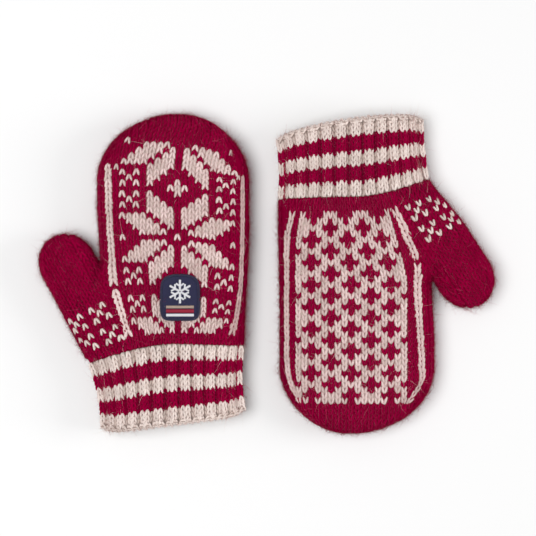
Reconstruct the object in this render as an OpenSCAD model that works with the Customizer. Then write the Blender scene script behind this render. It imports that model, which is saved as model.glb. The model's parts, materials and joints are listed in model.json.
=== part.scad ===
// A pair of lined, stranded-knit mittens that lie flat on a table: the right-hand one with its
// back up, the left-hand one turned round with its palm up.
// Each mitten is drawn in a frame of its own. Y runs from the end of the cuff (0) to the
// fingertips, the thumb is on the -X side, and the table is at Z = 0.

/* [Hand] */
// Width of the hand across the knuckles
hand_w = 83.6; // [78:0.2:96]
// Length of the hand from the cuff to the fingertips
hand_l = 126; // [116:1:150]
// Length of the rounded fingertip end
tip_l = 37; // [30:0.5:44]
// Sideways lean of the fingertip, away from the thumb
tip_off = 3.3; // [0:0.1:5]
// Height of the widest line above the table
edge_z = 9; // [8:0.1:11]
// Rise of the back of the hand above the widest line
hand_rise = 13; // [11:0.1:17]
// Narrowing of the hand in the crotch of the thumb
pinch = 1.5; // [0:0.1:2.5]
// Narrowing of the outer side of the hand at the cuff
waist = 2.6; // [0:0.1:4]

/* [Thumb] */
// Width of the thumb
thumb_w = 29.6; // [25:0.2:32]
// Length of the thumb from its pivot to its tip
thumb_l = 34; // [28:0.5:48]
// Length of the rounded thumb tip
thumb_tip_l = 18; // [12:0.5:20]
// Angle between the thumb and the hand, in degrees
thumb_angle = 27; // [23:1:32]
// Distance of the pivot outside the edge of the hand
thumb_out = 8.9; // [7.5:0.1:10.5]
// Distance of the pivot from the cuff
thumb_y = 29; // [25:0.5:38]
// Rise of the thumb above the widest line
thumb_rise = 9; // [7:0.1:10]
// Height of the underside of the thumb above the table
thumb_lift = 1; // [0.5:0.1:2]
// Turn of the thumb from rest until it points furthest away from the hand, in degrees
thumb_open = 25; // [10:1:30]
// Turn of the thumb from rest until it meets the hand, in degrees
thumb_close = 5; // [1:0.5:7]
// Extra turn at which the thumb of the left mitten lies at rest, in degrees
left_splay = 3; // [0:0.5:6]

/* [Cuff] */
// Width of the cuff at its hem
cuff_w = 79.6; // [72:0.2:90]
// Length of the cuff along its middle
cuff_l = 44.5; // [34:0.5:60]
// Rise of the cuff above the widest line
cuff_rise = 9.5; // [8:0.1:12]
// Number of ribs on one face of the cuff
cuff_ribs = 12; // [9:1:14]
// Depth of the grooves between the ribs
rib_d = 0.9; // [0.4:0.1:1.2]
// Slope of the hem across the cuff, longest on the thumb side, in degrees
hem_slope = 7.8; // [0:0.1:10]
// Distance that the join dips towards the hem on the thumb side
join_dip = 11; // [4:0.5:13]

/* [Walls] */
// Thickness of the knitted wall
wall = 2.6; // [2:0.1:3]
// Thickness of the fleece lining
lining_t = 1.6; // [1:0.1:2]
// Space between two layers of fabric
slip = 0.3; // [0.2:0.05:0.5]
// Running gap between the thumb and the hand
turn_gap = 0.35; // [0.3:0.05:0.6]
// Thickness of the side seam inside the knitted wall
seam_t = 1.2; // [0.8:0.1:1.6]
// Width of the side seam
seam_w = 3.2; // [2:0.1:3.6]

/* [Badge] */
// Width of the sewn badge
badge_w = 21.8; // [14:0.2:26]
// Length of the sewn badge
badge_l = 23.6; // [16:0.2:28]
// Height of the arch at the upper end of the badge
badge_arch = 2; // [0:0.1:4]
// Thickness of the badge
badge_t = 0.9; // [0.6:0.1:1.1]
// Width of the overcast edge of the badge
badge_edge_w = 1.1; // [0.8:0.1:1.6]
// Distance of the badge from the middle of the hand, away from the thumb
badge_x = 4.4; // [0:0.1:8]
// Distance of the badge from the cuff
badge_y = 24.2; // [18:0.1:40]

/* [Pair] */
// Distance between the middles of the two mittens across the pair
pair_x = 100.4; // [98:0.2:140]
// Distance by which the two mittens are shifted lengthwise
pair_y = 76; // [70:0.2:90]

/* [Hidden] */

crimson = [0.59, 0.02, 0.19];
cream = [0.88, 0.81, 0.77];
fleece = [0.80, 0.74, 0.70];
navy = [0.14, 0.14, 0.26];
thread = [0.45, 0.02, 0.14];

top_power = 2.2;          // roundness of the upper half of a cross-section
base_power = 3;           // the lower half is flatter
tip_power = 1.95;         // outline of the fingertip end
tip_slim = 2.4;           // how late the fingertip end gets thin
root_power = 5;           // how full the root of the thumb stays beside the hand
settle = 0.4;             // how much the underside is pressed flat by its own weight
lip = 0.5;                // the root of the thumb is this much rounder than the thumb is wide
join_gap = 0.3;           // between the cuff and the hand
seam_clear = 1.3;         // between the side seam and the knitted wall, at its middle
join_dip_side = 1.5;      // dip of the join on the outer side
dip_power = 1.6;          // how late across the hand the dip begins
cuff_waist = 1.5;         // narrowing of the outer side of the cuff, halfway along it
join_swell = 2;           // the join stands this much higher than the hem
pinch_l = 35;             // length over which the narrowing of the crotch fades out
lining_end = 0.94;        // where the lining stops, as a share of the cuff
hem_seam_ends = [0.985, 0.948]; // and between which shares the hem seam lies
cuff_rows = [0.72, 0.45, 0.2];  // rings between the two ends of the cuff, as shares of it
seam_ends = [0.93, 0.04];       // and between which shares the side seam lies in the cuff
patch_gap = 0.2;          // between the badge and the knitting
sides = 32;               // points round the hand
lining_sides = 28;
thumb_sides = 24;
cuff_sides = 8 * cuff_ribs;
hem_seam_sides = 48;
badge_sides = 32;
rib_spread = 0.25;        // spacing of the points round the cuff: 0 even across, 1 even by angle
hem_spread = 0.6;
ring_rows = 5;            // rows in the rounded ends
last_row = 86;            // place of the last of them on its quarter turn, in degrees
badge_corner = 0.4;       // how square the corners of the badge are: 1 round, 0 square
travel_steps = 10;        // positions of the thumb that cut its room into the hand

tip_y = hand_l - tip_l;
base_drop = edge_z + settle;
thumb_drop = edge_z - thumb_lift;
thumb_r = thumb_w / 2;
root_r = thumb_r + lip;
pivot = [-(hand_w / 2 + thumb_out), thumb_y];
// the outer side of the gusset is the line that carries on the outer side of the thumb
gusset_top = pivot - thumb_r * [cos(thumb_angle), sin(thumb_angle)];
// the crotch is where the thumb, turned in and with its gap, crosses the edge of the hand
crotch_angle = thumb_angle - thumb_close;
crotch_start = pivot + (root_r + turn_gap) * [cos(crotch_angle), sin(crotch_angle)];
crotch_y = crotch_start.y + (crotch_start.x + hand_w / 2 - pinch) / tan(crotch_angle);
fade_l = crotch_y + 5;    // the lean of the knitted rows fades out over this length
waist_l = 0.7 * tip_y;    // and the narrowing at the cuff over this one
swell_l = tip_y / 2;
join_rise = cuff_rise + join_swell;
lining_off = wall + slip;
cuff_in = wall + rib_d;
seam_room = seam_clear + seam_t;

// furthest reach of a thumb to its side, for a thumb at angle a
function reach(a) = hand_w / 2 + thumb_out + (thumb_l - thumb_tip_l) * sin(a)
    + norm([thumb_r * cos(a), thumb_tip_l * sin(a)]);
reach_change = reach(thumb_angle + left_splay) - reach(thumb_angle);
right_at = [-(pair_x + reach_change) / 2, -pair_y / 2, 0];
left_at = [(pair_x - reach_change) / 2, pair_y / 2, 0];

function mix(a, b, t) = a + (b - a) * t;
function smooth(t) = let (k = min(1, max(0, t))) k * k * (3 - 2 * k);

// place across the mitten for the share u of the way round: 1 at the outer side (u = 0),
// over the top to -1 at the thumb side (u = 0.5), and back underneath
function across(u, k) = let (w = u < 0.5 ? 2 * u : 2 - 2 * u) mix(1 - 2 * w, cos(180 * w), k);
function arch(xs, p) = pow(max(0, 1 - pow(abs(xs), p)), 1 / p);
function height(u, xs, up, down, more = 0) = u < 0.5
    ? edge_z + up * arch(xs, top_power + more)
    : max(0, edge_z - down * arch(xs, base_power + more));

// plan outline of the hand: distances of its two edges from the middle line
function gusset(y) = -gusset_top.x - (gusset_top.y - y) * tan(thumb_angle);
function thumb_edge(y) = y > crotch_y ? hand_w / 2 - pinch * (1 - smooth((y - crotch_y) / pinch_l))
    : y > gusset_top.y ? mix(gusset(gusset_top.y), hand_w / 2 - pinch,
        (y - gusset_top.y) / (crotch_y - gusset_top.y))
    : gusset(y);
function outer_edge(y) = hand_w / 2 - waist * (1 - smooth(y / waist_l));
function hand_up(y) = mix(join_rise, hand_rise, smooth(y / swell_l));

// the knitted rows lean: they dip towards the hem at both sides, most of all under the thumb
function fade(v) = pow(max(0, 1 - max(0, v) / fade_l), 2);
function dip(xs, v) = -fade(v) * (xs < 0 ? join_dip * pow(-xs, dip_power)
    : join_dip_side * pow(xs, dip_power));

// a ring of the hand at row v, or at the share s of the fingertip end, set in by t
function hand_ring(v, s, t, n, side_t = 0) = let (
    slim = pow(1 - pow(s, tip_power), 1 / tip_power),
    thin = pow(1 - pow(s, tip_slim), 1 / tip_slim),
    y = v + (tip_l - t) * s,
    thumb_side = (thumb_edge(v + dip(-1, v)) - t) * slim,
    outer_side = (outer_edge(v) - t - side_t) * slim,
    up = (hand_up(v) - t) * thin,
    down = (base_drop - t) * thin
) [for (i = [0 : n - 1]) let (u = i / n, xs = across(u, 1))
    [tip_off * s + xs * (xs < 0 ? thumb_side : outer_side), y + dip(xs, y),
     height(u, xs, up, down)]];

hand_rows = concat(
    [for (i = [0 : 7]) crotch_y * i / 7],
    [for (i = [1 : 3]) mix(crotch_y, tip_y, i / 3)]
);
tip_rows = [for (i = [1 : ring_rows]) sin(last_row * i / ring_rows)];

function hand_rings(t, n, side_t = 0) = concat(
    [for (v = hand_rows) hand_ring(v, 0, t, n, side_t)],
    [for (s = tip_rows) hand_ring(tip_y, s, t, n, side_t)]
);

// a ring of the cuff at the share f of its length from the hand, set in by t
function cuff_thumb_side(f) = mix(cuff_w / 2, thumb_edge(dip(-1, 0)), pow(1 - f, 2));
function cuff_outer_side(f) = mix(outer_edge(0), cuff_w / 2, f) - cuff_waist * sin(180 * f);
function cuff_up(f) = mix(hand_up(0), cuff_rise, smooth(2 * f));
function cuff_y(xs, x, f) = mix(dip(xs, 0) - join_gap, x * tan(hem_slope) - cuff_l, f);
function cuff_ring(f, t, n, k, depth = 0, side_t = 0) =
    [for (i = [0 : n - 1]) let (
        u = i / n,
        xs = across(u, k),
        set_in = t + depth * (1 - cos(720 * cuff_ribs * u)) / 2,
        x = xs * ((xs < 0 ? cuff_thumb_side(f) : cuff_outer_side(f) - side_t) - set_in)
    ) [x, cuff_y(xs, x, f), height(u, xs, cuff_up(f) - set_in, base_drop - set_in)]];

// a ring of the thumb, in a frame with its pivot at the origin and its tip along +Y:
// root goes from 1 on the round root to 0, then y runs along it and s round its tip;
// full keeps the side next to the hand as thick as the hand that it sits in
function thumb_ring(root, y, s, t, full) = let (
    slim = sqrt(1 - s * s),
    half = (thumb_r - t) * slim
) [for (i = [0 : thumb_sides - 1]) let (
    u = i / thumb_sides,
    xs = across(u, 1),
    x = xs * half
) [x, y + (thumb_tip_l - t) * s - root * sqrt(root_r * root_r - x * x),
   height(u, xs, (thumb_rise - t) * slim, (thumb_drop - t) * slim, xs > 0 ? root_power * full : 0)]];

function thumb_rings(t) = concat(
    [for (r = [1, 0.5, 0]) thumb_ring(r, 0, 0, t, 1)],
    [for (i = [1 : 2]) thumb_ring(0, (thumb_l - thumb_tip_l) * i / 2, 0, t, 1 - i / 2)],
    [for (i = [1 : ring_rows])
        thumb_ring(0, thumb_l - thumb_tip_l, sin(last_row * i / ring_rows), t, 0)]
);

// faces of a tube of m rings with n points each, whose points start at number first
function tube_faces(m, n, first, turned) = [
    for (k = [0 : m - 2], i = [0 : n - 1]) let (
        a = first + k * n + i,
        b = first + k * n + (i + 1) % n
    ) each turned ? [[a, b + n, b], [a, a + n, b + n]] : [[a, b, b + n], [a, b + n, a + n]]
];
// faces that close one ring, in strips that run across it
function end_faces(n, first, turned) = [
    for (j = [0 : n / 2 - 1]) let (
        a = first + j, b = first + j + 1, c = first + n - j - 1, d = first + (n - j) % n
    ) each concat(
        j < n / 2 - 1 ? [turned ? [a, c, b] : [a, b, c]] : [],
        j > 0 ? [turned ? [a, d, c] : [a, c, d]] : []
    )
];
// faces between an outer and an inner ring
function rim_faces(n, outer, inner, turned) = [
    for (i = [0 : n - 1]) let (
        a = outer + i, b = outer + (i + 1) % n, c = inner + i, d = inner + (i + 1) % n
    ) each turned ? [[a, d, c], [a, b, d]] : [[a, c, d], [a, d, b]]
];
function flat(lists) = [for (one = lists) each one];

// a wall between outer and inner rings: a tube, or a pouch that is closed at its last ring
module pouch(outer, inner, closed = true) {
    m = len(outer);
    n = len(outer[0]);
    last = (m - 1) * n;
    polyhedron(
        points = concat(flat(outer), flat(inner)),
        faces = concat(
            tube_faces(m, n, 0, false), tube_faces(m, n, m * n, true),
            rim_faces(n, 0, m * n, false),
            closed ? end_faces(n, last, false) : [],
            closed ? end_faces(n, m * n + last, true) : rim_faces(n, last, m * n + last, true)
        ),
        convexity = 8
    );
}

// a closed loop or strip: four-cornered rings carried along a path
module strip(rings, closed = false) {
    m = len(rings);
    faces = [for (k = [0 : closed ? m - 1 : m - 2], i = [0 : 3]) let (
        a = 4 * k + i, b = 4 * k + (i + 1) % 4,
        c = 4 * ((k + 1) % m) + i, d = 4 * ((k + 1) % m) + (i + 1) % 4
    ) each [[a, b, d], [a, d, c]]];
    ends = closed ? [] : [[0, 2, 1], [0, 3, 2], [4 * m - 4, 4 * m - 3, 4 * m - 2],
        [4 * m - 4, 4 * m - 2, 4 * m - 1]];
    polyhedron(points = flat(rings), faces = concat(faces, ends), convexity = 8);
}

module in_right() translate(right_at) children();
module in_left() translate(left_at) rotate(180) children();
module on_pivot(turn) translate([pivot.x, pivot.y, 0]) rotate(thumb_angle + turn) children();

// the room that the thumb needs over its whole travel
module thumb_travel() {
    tall = edge_z + hand_rise + cuff_rise;
    reach_in = thumb_r + turn_gap;
    translate([pivot.x, pivot.y, -1]) cylinder(r = root_r + turn_gap, h = tall, $fn = 64);
    for (i = [0 : travel_steps])
        on_pivot(mix(-thumb_close, thumb_open, i / travel_steps))
            translate([0, 0, -1]) hull() {
                cylinder(r = reach_in, h = tall, $fn = 32);
                translate([0, thumb_l - thumb_r, 0]) cylinder(r = reach_in, h = tall, $fn = 32);
            }
}

module knitted_hand(pocket = false) {
    color(crimson) difference() {
        pouch(hand_rings(0, sides), hand_rings(wall, sides));
        thumb_travel();
        // on the mitten that lies on its back the badge sinks into the knitting
        if (pocket)
            translate([0, 0, -1]) linear_extrude(1 + badge_t + patch_gap)
                polygon(badge_outline(-patch_gap));
    }
}

module knitted_thumb() color(crimson) pouch(thumb_rings(0), thumb_rings(wall));

module ribbed_cuff() {
    rows = concat([1], cuff_rows, [0]);
    color(cream) pouch(
        [for (f = rows) cuff_ring(f, 0, cuff_sides, rib_spread, rib_d)],
        [for (f = rows) cuff_ring(f, cuff_in, cuff_sides, rib_spread)],
        closed = false
    );
}

// the lining of hand and cuff is one pouch, set in by t from the outside of the knitting
function lining_rings(t) = concat(
    [for (f = concat([lining_end], cuff_rows, [0]))
        cuff_ring(f, t + rib_d, lining_sides, 1, 0, seam_room)],
    [for (i = [1 : len(hand_rows) - 1]) hand_ring(hand_rows[i], 0, t, lining_sides, seam_room)],
    [for (s = tip_rows) hand_ring(tip_y, s, t, lining_sides, seam_room)]
);
module hand_lining() {
    color(fleece) difference() {
        pouch(lining_rings(lining_off), lining_rings(lining_off + lining_t));
        thumb_travel();
    }
}

module thumb_lining() {
    color(fleece) pouch(thumb_rings(lining_off), thumb_rings(lining_off + lining_t));
}

// outline of the badge, set in by t: a softly squared oval with an arched upper end
function badge_outline(t) = [for (i = [0 : badge_sides - 1]) let (
    a = 360 * i / badge_sides,
    across_x = sign(cos(a)) * pow(abs(cos(a)), badge_corner),
    along_y = sign(sin(a)) * pow(abs(sin(a)), badge_corner),
    arched = sin(a) > 0 ? badge_arch * (1 - across_x * across_x) : 0
) [badge_x + (badge_w / 2 - t) * across_x, badge_y + (badge_l / 2 - t) * along_y + arched]];

// height of the knitting under the badge: the back of the hand, or the flat underside
function patch_z(p, under) = under ? badge_t + patch_gap / 2 : edge_z + patch_gap
    + hand_up(p.y) * arch(p.x / (p.x < 0 ? thumb_edge(p.y) : outer_edge(p.y)), top_power);
function patch_top(p, under) = under ? patch_gap / 2 : patch_z(p, under) + badge_t;

module badge_body(under) {
    edge = badge_outline(badge_edge_w + slip / 2);
    middle = [badge_x, badge_y];
    plan = concat([middle], [for (s = [0.5, 1], p = edge) mix(middle, p, s)]);
    low = [for (p = plan) [p.x, p.y, under ? patch_top(p, under) : patch_z(p, under)]];
    high = [for (p = plan) [p.x, p.y, under ? patch_z(p, under) : patch_top(p, under)]];
    n = len(edge);
    top = len(plan);
    faces = [for (i = [0 : n - 1]) let (
        a = 1 + i, b = 1 + (i + 1) % n, c = a + n, d = b + n
    ) each [
        [0, a, b], [a, c, d], [a, d, b],
        [top, top + b, top + a], [top + a, top + d, top + c], [top + a, top + b, top + d],
        [c, top + c, top + d], [c, top + d, d]
    ]];
    color(navy) polyhedron(points = concat(low, high), faces = faces, convexity = 4);
}

module badge_edge(under) {
    outside = badge_outline(0);
    inside = badge_outline(badge_edge_w);
    rings = [for (i = [0 : len(outside) - 1]) let (
        a = outside[i], b = inside[i],
        low_a = under ? patch_top(a, under) : patch_z(a, under),
        low_b = under ? patch_top(b, under) : patch_z(b, under)
    ) [[a.x, a.y, low_a], [b.x, b.y, low_b], [b.x, b.y, low_b + badge_t],
       [a.x, a.y, low_a + badge_t]]];
    color(navy) strip(rings, closed = true);
}

// the sewn seam inside the outer side, from the hem to the fingertip end
module side_seam() {
    half = seam_w / 2;
    function at(x, y) = [[x, y, edge_z - half], [x, y, edge_z + half],
        [x - seam_t, y, edge_z + half], [x - seam_t, y, edge_z - half]];
    cuff_part = [for (f = concat([seam_ends[0]], cuff_rows, [seam_ends[1]])) let (
        x = cuff_outer_side(f) - cuff_in - seam_clear
    ) at(x, cuff_y(1, x, f))];
    hand_part = [for (i = [1 : len(hand_rows) - 1]) let (v = hand_rows[i])
        at(outer_edge(v) - wall - seam_clear, v + dip(1, v))];
    color(thread) strip(concat(cuff_part, hand_part));
}

// the overcast seam that closes the end of the lining onto the cuff
module hem_seam() {
    function rings(t) = [for (f = hem_seam_ends) cuff_ring(f, t + rib_d, hem_seam_sides, hem_spread)];
    color(thread) pouch(rings(lining_off), rings(lining_off + lining_t), closed = false);
}

module right_hand_shell() in_right() knitted_hand();
module right_thumb_shell() in_right() on_pivot(0) knitted_thumb();
module right_cuff() in_right() ribbed_cuff();
module right_hand_lining() in_right() hand_lining();
module right_thumb_lining() in_right() on_pivot(0) thumb_lining();
module right_badge() in_right() badge_body(false);
module right_badge_edge() in_right() badge_edge(false);
module right_side_seam() in_right() side_seam();
module right_hem_seam() in_right() hem_seam();

module left_hand_shell() in_left() knitted_hand(pocket = true);
module left_thumb_shell() in_left() on_pivot(left_splay) knitted_thumb();
module left_cuff() in_left() ribbed_cuff();
module left_hand_lining() in_left() hand_lining();
module left_thumb_lining() in_left() on_pivot(left_splay) thumb_lining();
module left_badge() in_left() badge_body(true);
module left_badge_edge() in_left() badge_edge(true);
module left_side_seam() in_left() side_seam();
module left_hem_seam() in_left() hem_seam();

right_hand_shell();
right_thumb_shell();
right_cuff();
right_hand_lining();
right_thumb_lining();
right_badge();
right_badge_edge();
right_side_seam();
right_hem_seam();
left_hand_shell();
left_thumb_shell();
left_cuff();
left_hand_lining();
left_thumb_lining();
left_badge();
left_badge_edge();
left_side_seam();
left_hem_seam();
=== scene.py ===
"""Looks of a pair of lined mittens in stranded knitting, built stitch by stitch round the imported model.

Every shape is worked out in millimetres in the frame of one mitten: Y runs from the end of the cuff
(0) to the fingertips, the thumb is on the -X side and the table is at Z = 0. The places of the two
mittens, and the turn of the left one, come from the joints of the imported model.
"""

import json
import logging
import math
from collections.abc import Callable
from dataclasses import dataclass, field, fields, replace
from enum import Enum

import bpy
import numpy as np
from numpy.typing import NDArray
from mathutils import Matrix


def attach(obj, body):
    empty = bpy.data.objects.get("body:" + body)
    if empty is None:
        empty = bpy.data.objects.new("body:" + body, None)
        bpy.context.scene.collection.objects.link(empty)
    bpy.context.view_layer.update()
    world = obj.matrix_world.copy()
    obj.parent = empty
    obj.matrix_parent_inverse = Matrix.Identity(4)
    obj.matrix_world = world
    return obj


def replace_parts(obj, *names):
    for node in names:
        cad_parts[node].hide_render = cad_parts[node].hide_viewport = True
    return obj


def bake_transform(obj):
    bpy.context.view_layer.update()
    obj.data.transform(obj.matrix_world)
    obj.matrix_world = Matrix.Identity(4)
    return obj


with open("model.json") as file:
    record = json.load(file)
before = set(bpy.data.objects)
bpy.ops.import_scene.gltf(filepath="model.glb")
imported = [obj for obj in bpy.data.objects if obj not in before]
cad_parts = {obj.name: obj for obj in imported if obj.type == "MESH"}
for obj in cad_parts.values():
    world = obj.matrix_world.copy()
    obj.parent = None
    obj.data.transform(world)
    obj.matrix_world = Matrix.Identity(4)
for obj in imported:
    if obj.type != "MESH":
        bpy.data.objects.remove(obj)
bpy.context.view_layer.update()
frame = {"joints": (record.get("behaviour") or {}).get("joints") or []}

Array = NDArray[np.float64]
Index = NDArray[np.int64]
Rng = np.random.Generator
Piece = bpy.types.Object
Line = tuple[tuple[float, float], ...]
Rgb = tuple[float, float, float]
Colour = tuple[float, float, float, float]
Tree = bpy.types.NodeTree
Socket = bpy.types.NodeSocket
Value = Socket | float | Colour
Look = tuple[Socket, Socket, float]
MM = 0.001
NEAR_POLE = 0.9995  # how far towards the pole of a rounded end its last ring is
log = logging.getLogger("mittens")


class Side(Enum):
    """The two mittens, named for the hand that they fit."""

    RIGHT = "right"
    LEFT = "left"


class Face(Enum):
    """The two faces of a mitten that lies on a table."""

    TOP = 1.0
    UNDER = -1.0


class Over(Enum):
    """Which outer face a stitch lies on: the hand's, the thumb's or that of both together."""

    HAND = "hand"
    THUMB = "thumb"
    BOTH = "both"


# ---- numbers and meshes


def smooth(t: Array) -> Array:
    """Ease t, cut to 0..1, in and out: t squared times (3 - 2 t)."""
    t = np.clip(t, 0.0, 1.0)
    return t * t * (3.0 - 2.0 * t)


def mix(a: Array, b: Array, t: Array) -> Array:
    """The value t of the way from a to b."""
    return a + (b - a) * t


def unit(v: Array) -> Array:
    """Each row of v at length 1."""
    return v / np.maximum(np.linalg.norm(v, axis=-1, keepdims=True), 1e-9)


def arch(x: Array, power: float) -> Array:
    """Height of a rounded arch over x in -1..1: the power-th root of 1 - |x| to that power."""
    return np.maximum(0.0, 1.0 - np.abs(x) ** power) ** (1.0 / power)


def stack(x: Array, y: Array, z: Array) -> Array:
    """Points from three arrays of coordinates, after they are stretched to one shape."""
    return np.stack(np.broadcast_arrays(x, y, z), axis=-1).astype(float)


def turns(count: int) -> Array:
    """Even shares of the way round a ring, as one row."""
    return (np.arange(count) / count)[None]


def circle(count: int, side: Array, up: Array) -> Array:
    """Directions cos(a) side + sin(a) up at even angles a, on a new axis before the last."""
    angle = (2 * math.pi * np.arange(count) / count)[:, None]
    return np.cos(angle) * side[..., None, :] + np.sin(angle) * up[..., None, :]


def run_out(low: float, straight: float, tip: float, even: int, late: int, turn: float) -> Array:
    """Even places from low to straight, then straight + tip sin(a) with a even up to turn."""
    over = np.sin(np.linspace(0, math.radians(turn), late)[1:])
    return np.concatenate([np.linspace(low, straight, even), straight + tip * over])


@dataclass
class Shape:
    """A mesh in the making, in millimetres in the frame of its mitten.

    Args:
        points: corner points, one row each.
        quads, tris: faces with four and with three corners, as rows of point numbers.
        tags: numbers at each point that a material reads by name.
        uv: place of each point along and round a thread, if a material needs it.
    """

    points: Array
    quads: Index
    tris: Index
    tags: dict[str, Array] = field(default_factory=dict)
    uv: Array | None = None

    @staticmethod
    def join(shapes: list["Shape"]) -> "Shape":
        """All shapes as one, with the tags that the first one has."""
        starts = np.cumsum([0] + [len(s.points) for s in shapes[:-1]])
        first = shapes[0]
        return Shape(
            np.concatenate([s.points for s in shapes]),
            np.concatenate([s.quads + n for s, n in zip(shapes, starts)]),
            np.concatenate([s.tris + n for s, n in zip(shapes, starts)]),
            {k: np.concatenate([s.tags[k] for s in shapes]) for k in first.tags},
            None if first.uv is None else np.concatenate([s.uv for s in shapes]),
        )


def tube_faces(rings: int, around: int, first: int = 0, turned: bool = False) -> Index:
    """Faces of a tube: ring k joined to ring k + 1, all the way round.

    Args:
        rings, around: how many rings the tube has, and points in each.
        first: number of the first point.
        turned: whether the faces look inwards.
    Returns:
        Rows of four point numbers.
    """
    k, i = np.meshgrid(np.arange(rings - 1), np.arange(around), indexing="ij")
    a = first + k * around + i
    b = first + k * around + (i + 1) % around
    quads = np.stack([a, b, b + around, a + around], -1).reshape(-1, 4)
    return quads[:, ::-1] if turned else quads


def fan_faces(around: int, first: int, pole: int, turned: bool = False) -> Index:
    """Triangles from the ring that begins at first to its pole; turned is as for tube_faces."""
    i = np.arange(around)
    tris = np.stack([first + i, first + (i + 1) % around, np.full(around, pole)], -1)
    return tris[:, ::-1] if turned else tris


def rim_faces(around: int, outer: int, inner: int, turned: bool = False) -> Index:
    """Faces between the rings that begin at outer and inner; turned is as for tube_faces."""
    i = np.arange(around)
    j = (i + 1) % around
    quads = np.stack([outer + i, inner + i, inner + j, outer + j], -1)
    return quads[:, ::-1] if turned else quads


def wall(outer: Array, inner: Array, closed: bool) -> Shape:
    """A wall between two grids of rings: a tube, or a pouch that is closed at its last rings.

    Args:
        outer, inner: rings of both sides, each shaped (rings, around, 3).
        closed: whether the last rings end in a pole each.
    Returns:
        The closed wall.
    """
    rings, around, _ = outer.shape
    count = rings * around
    points = [outer.reshape(-1, 3), inner.reshape(-1, 3)]
    quads = [
        tube_faces(rings, around),
        tube_faces(rings, around, count, turned=True),
        rim_faces(around, 0, count),
    ]
    tris = [np.zeros((0, 3), int)]
    last = count - around
    if closed:
        points += [outer[-1].mean(0)[None], inner[-1].mean(0)[None]]
        tris = [
            fan_faces(around, last, 2 * count),
            fan_faces(around, count + last, 2 * count + 1, turned=True),
        ]
    else:
        quads.append(rim_faces(around, last, count + last, turned=True))
    return Shape(np.concatenate(points), np.concatenate(quads), np.concatenate(tris))


def capsule(path: Array, radius: Array, around: int, side: Array) -> Shape:
    """A closed round thread: rings of the given radius along a path, with a pole at each end.

    A ring's points are path + radius (cos a side + sin a up), where up is the path's own
    direction crossed with side.

    Args:
        path, radius: points of the middle line, and the radius at each but the poles.
        around, side: points in each ring, and the direction across the thread.
    Returns:
        The thread, with uv running along and round it.
    """
    inner = path[1:-1]
    run = unit(path[2:] - path[:-2])
    up = unit(np.cross(run, side))
    across = np.cross(up, run)
    points = inner[:, None] + radius[:, None, None] * circle(around, across, up)
    rings = len(inner)
    count = rings * around
    along = np.linspace(0, 1, rings + 2)
    uv = np.stack(np.broadcast_arrays(along[1:-1, None], turns(around)), -1)
    return Shape(
        np.concatenate([points.reshape(-1, 3), path[:1], path[-1:]]),
        tube_faces(rings, around),
        np.concatenate([
            fan_faces(around, 0, count, turned=True),
            fan_faces(around, count - around, count + 1),
        ]),
        {},
        np.concatenate([uv.reshape(-1, 2), [[0.0, 0.5], [1.0, 0.5]]]),
    )


def copies(
    template: Shape, middle: Array, axes: Array, tags: dict[str, Array] | None = None
) -> Shape:
    """The template once at each place: middle + x times axis 0 + y times axis 1 + z times axis 2.

    Args:
        template: the shape to repeat, in its own frame.
        middle, axes: a point and three scaled directions for each copy.
        tags: one number for each copy, spread over its points.
    Returns:
        All copies as one shape.
    """
    n, m = len(middle), len(template.points)
    points = middle[:, None] + np.einsum("pk,nkc->npc", template.points, axes)
    shift = (np.arange(n) * m)[:, None, None]
    spread = {k: np.repeat(v, m) for k, v in (tags or {}).items()}
    own = {k: np.tile(v, n) for k, v in template.tags.items()}
    return Shape(
        points.reshape(-1, 3),
        (template.quads[None] + shift).reshape(-1, 4),
        (template.tris[None] + shift).reshape(-1, 3),
        {**own, **spread},
        None if template.uv is None else np.tile(template.uv, (n, 1)),
    )


# ---- form of a mitten


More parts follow.
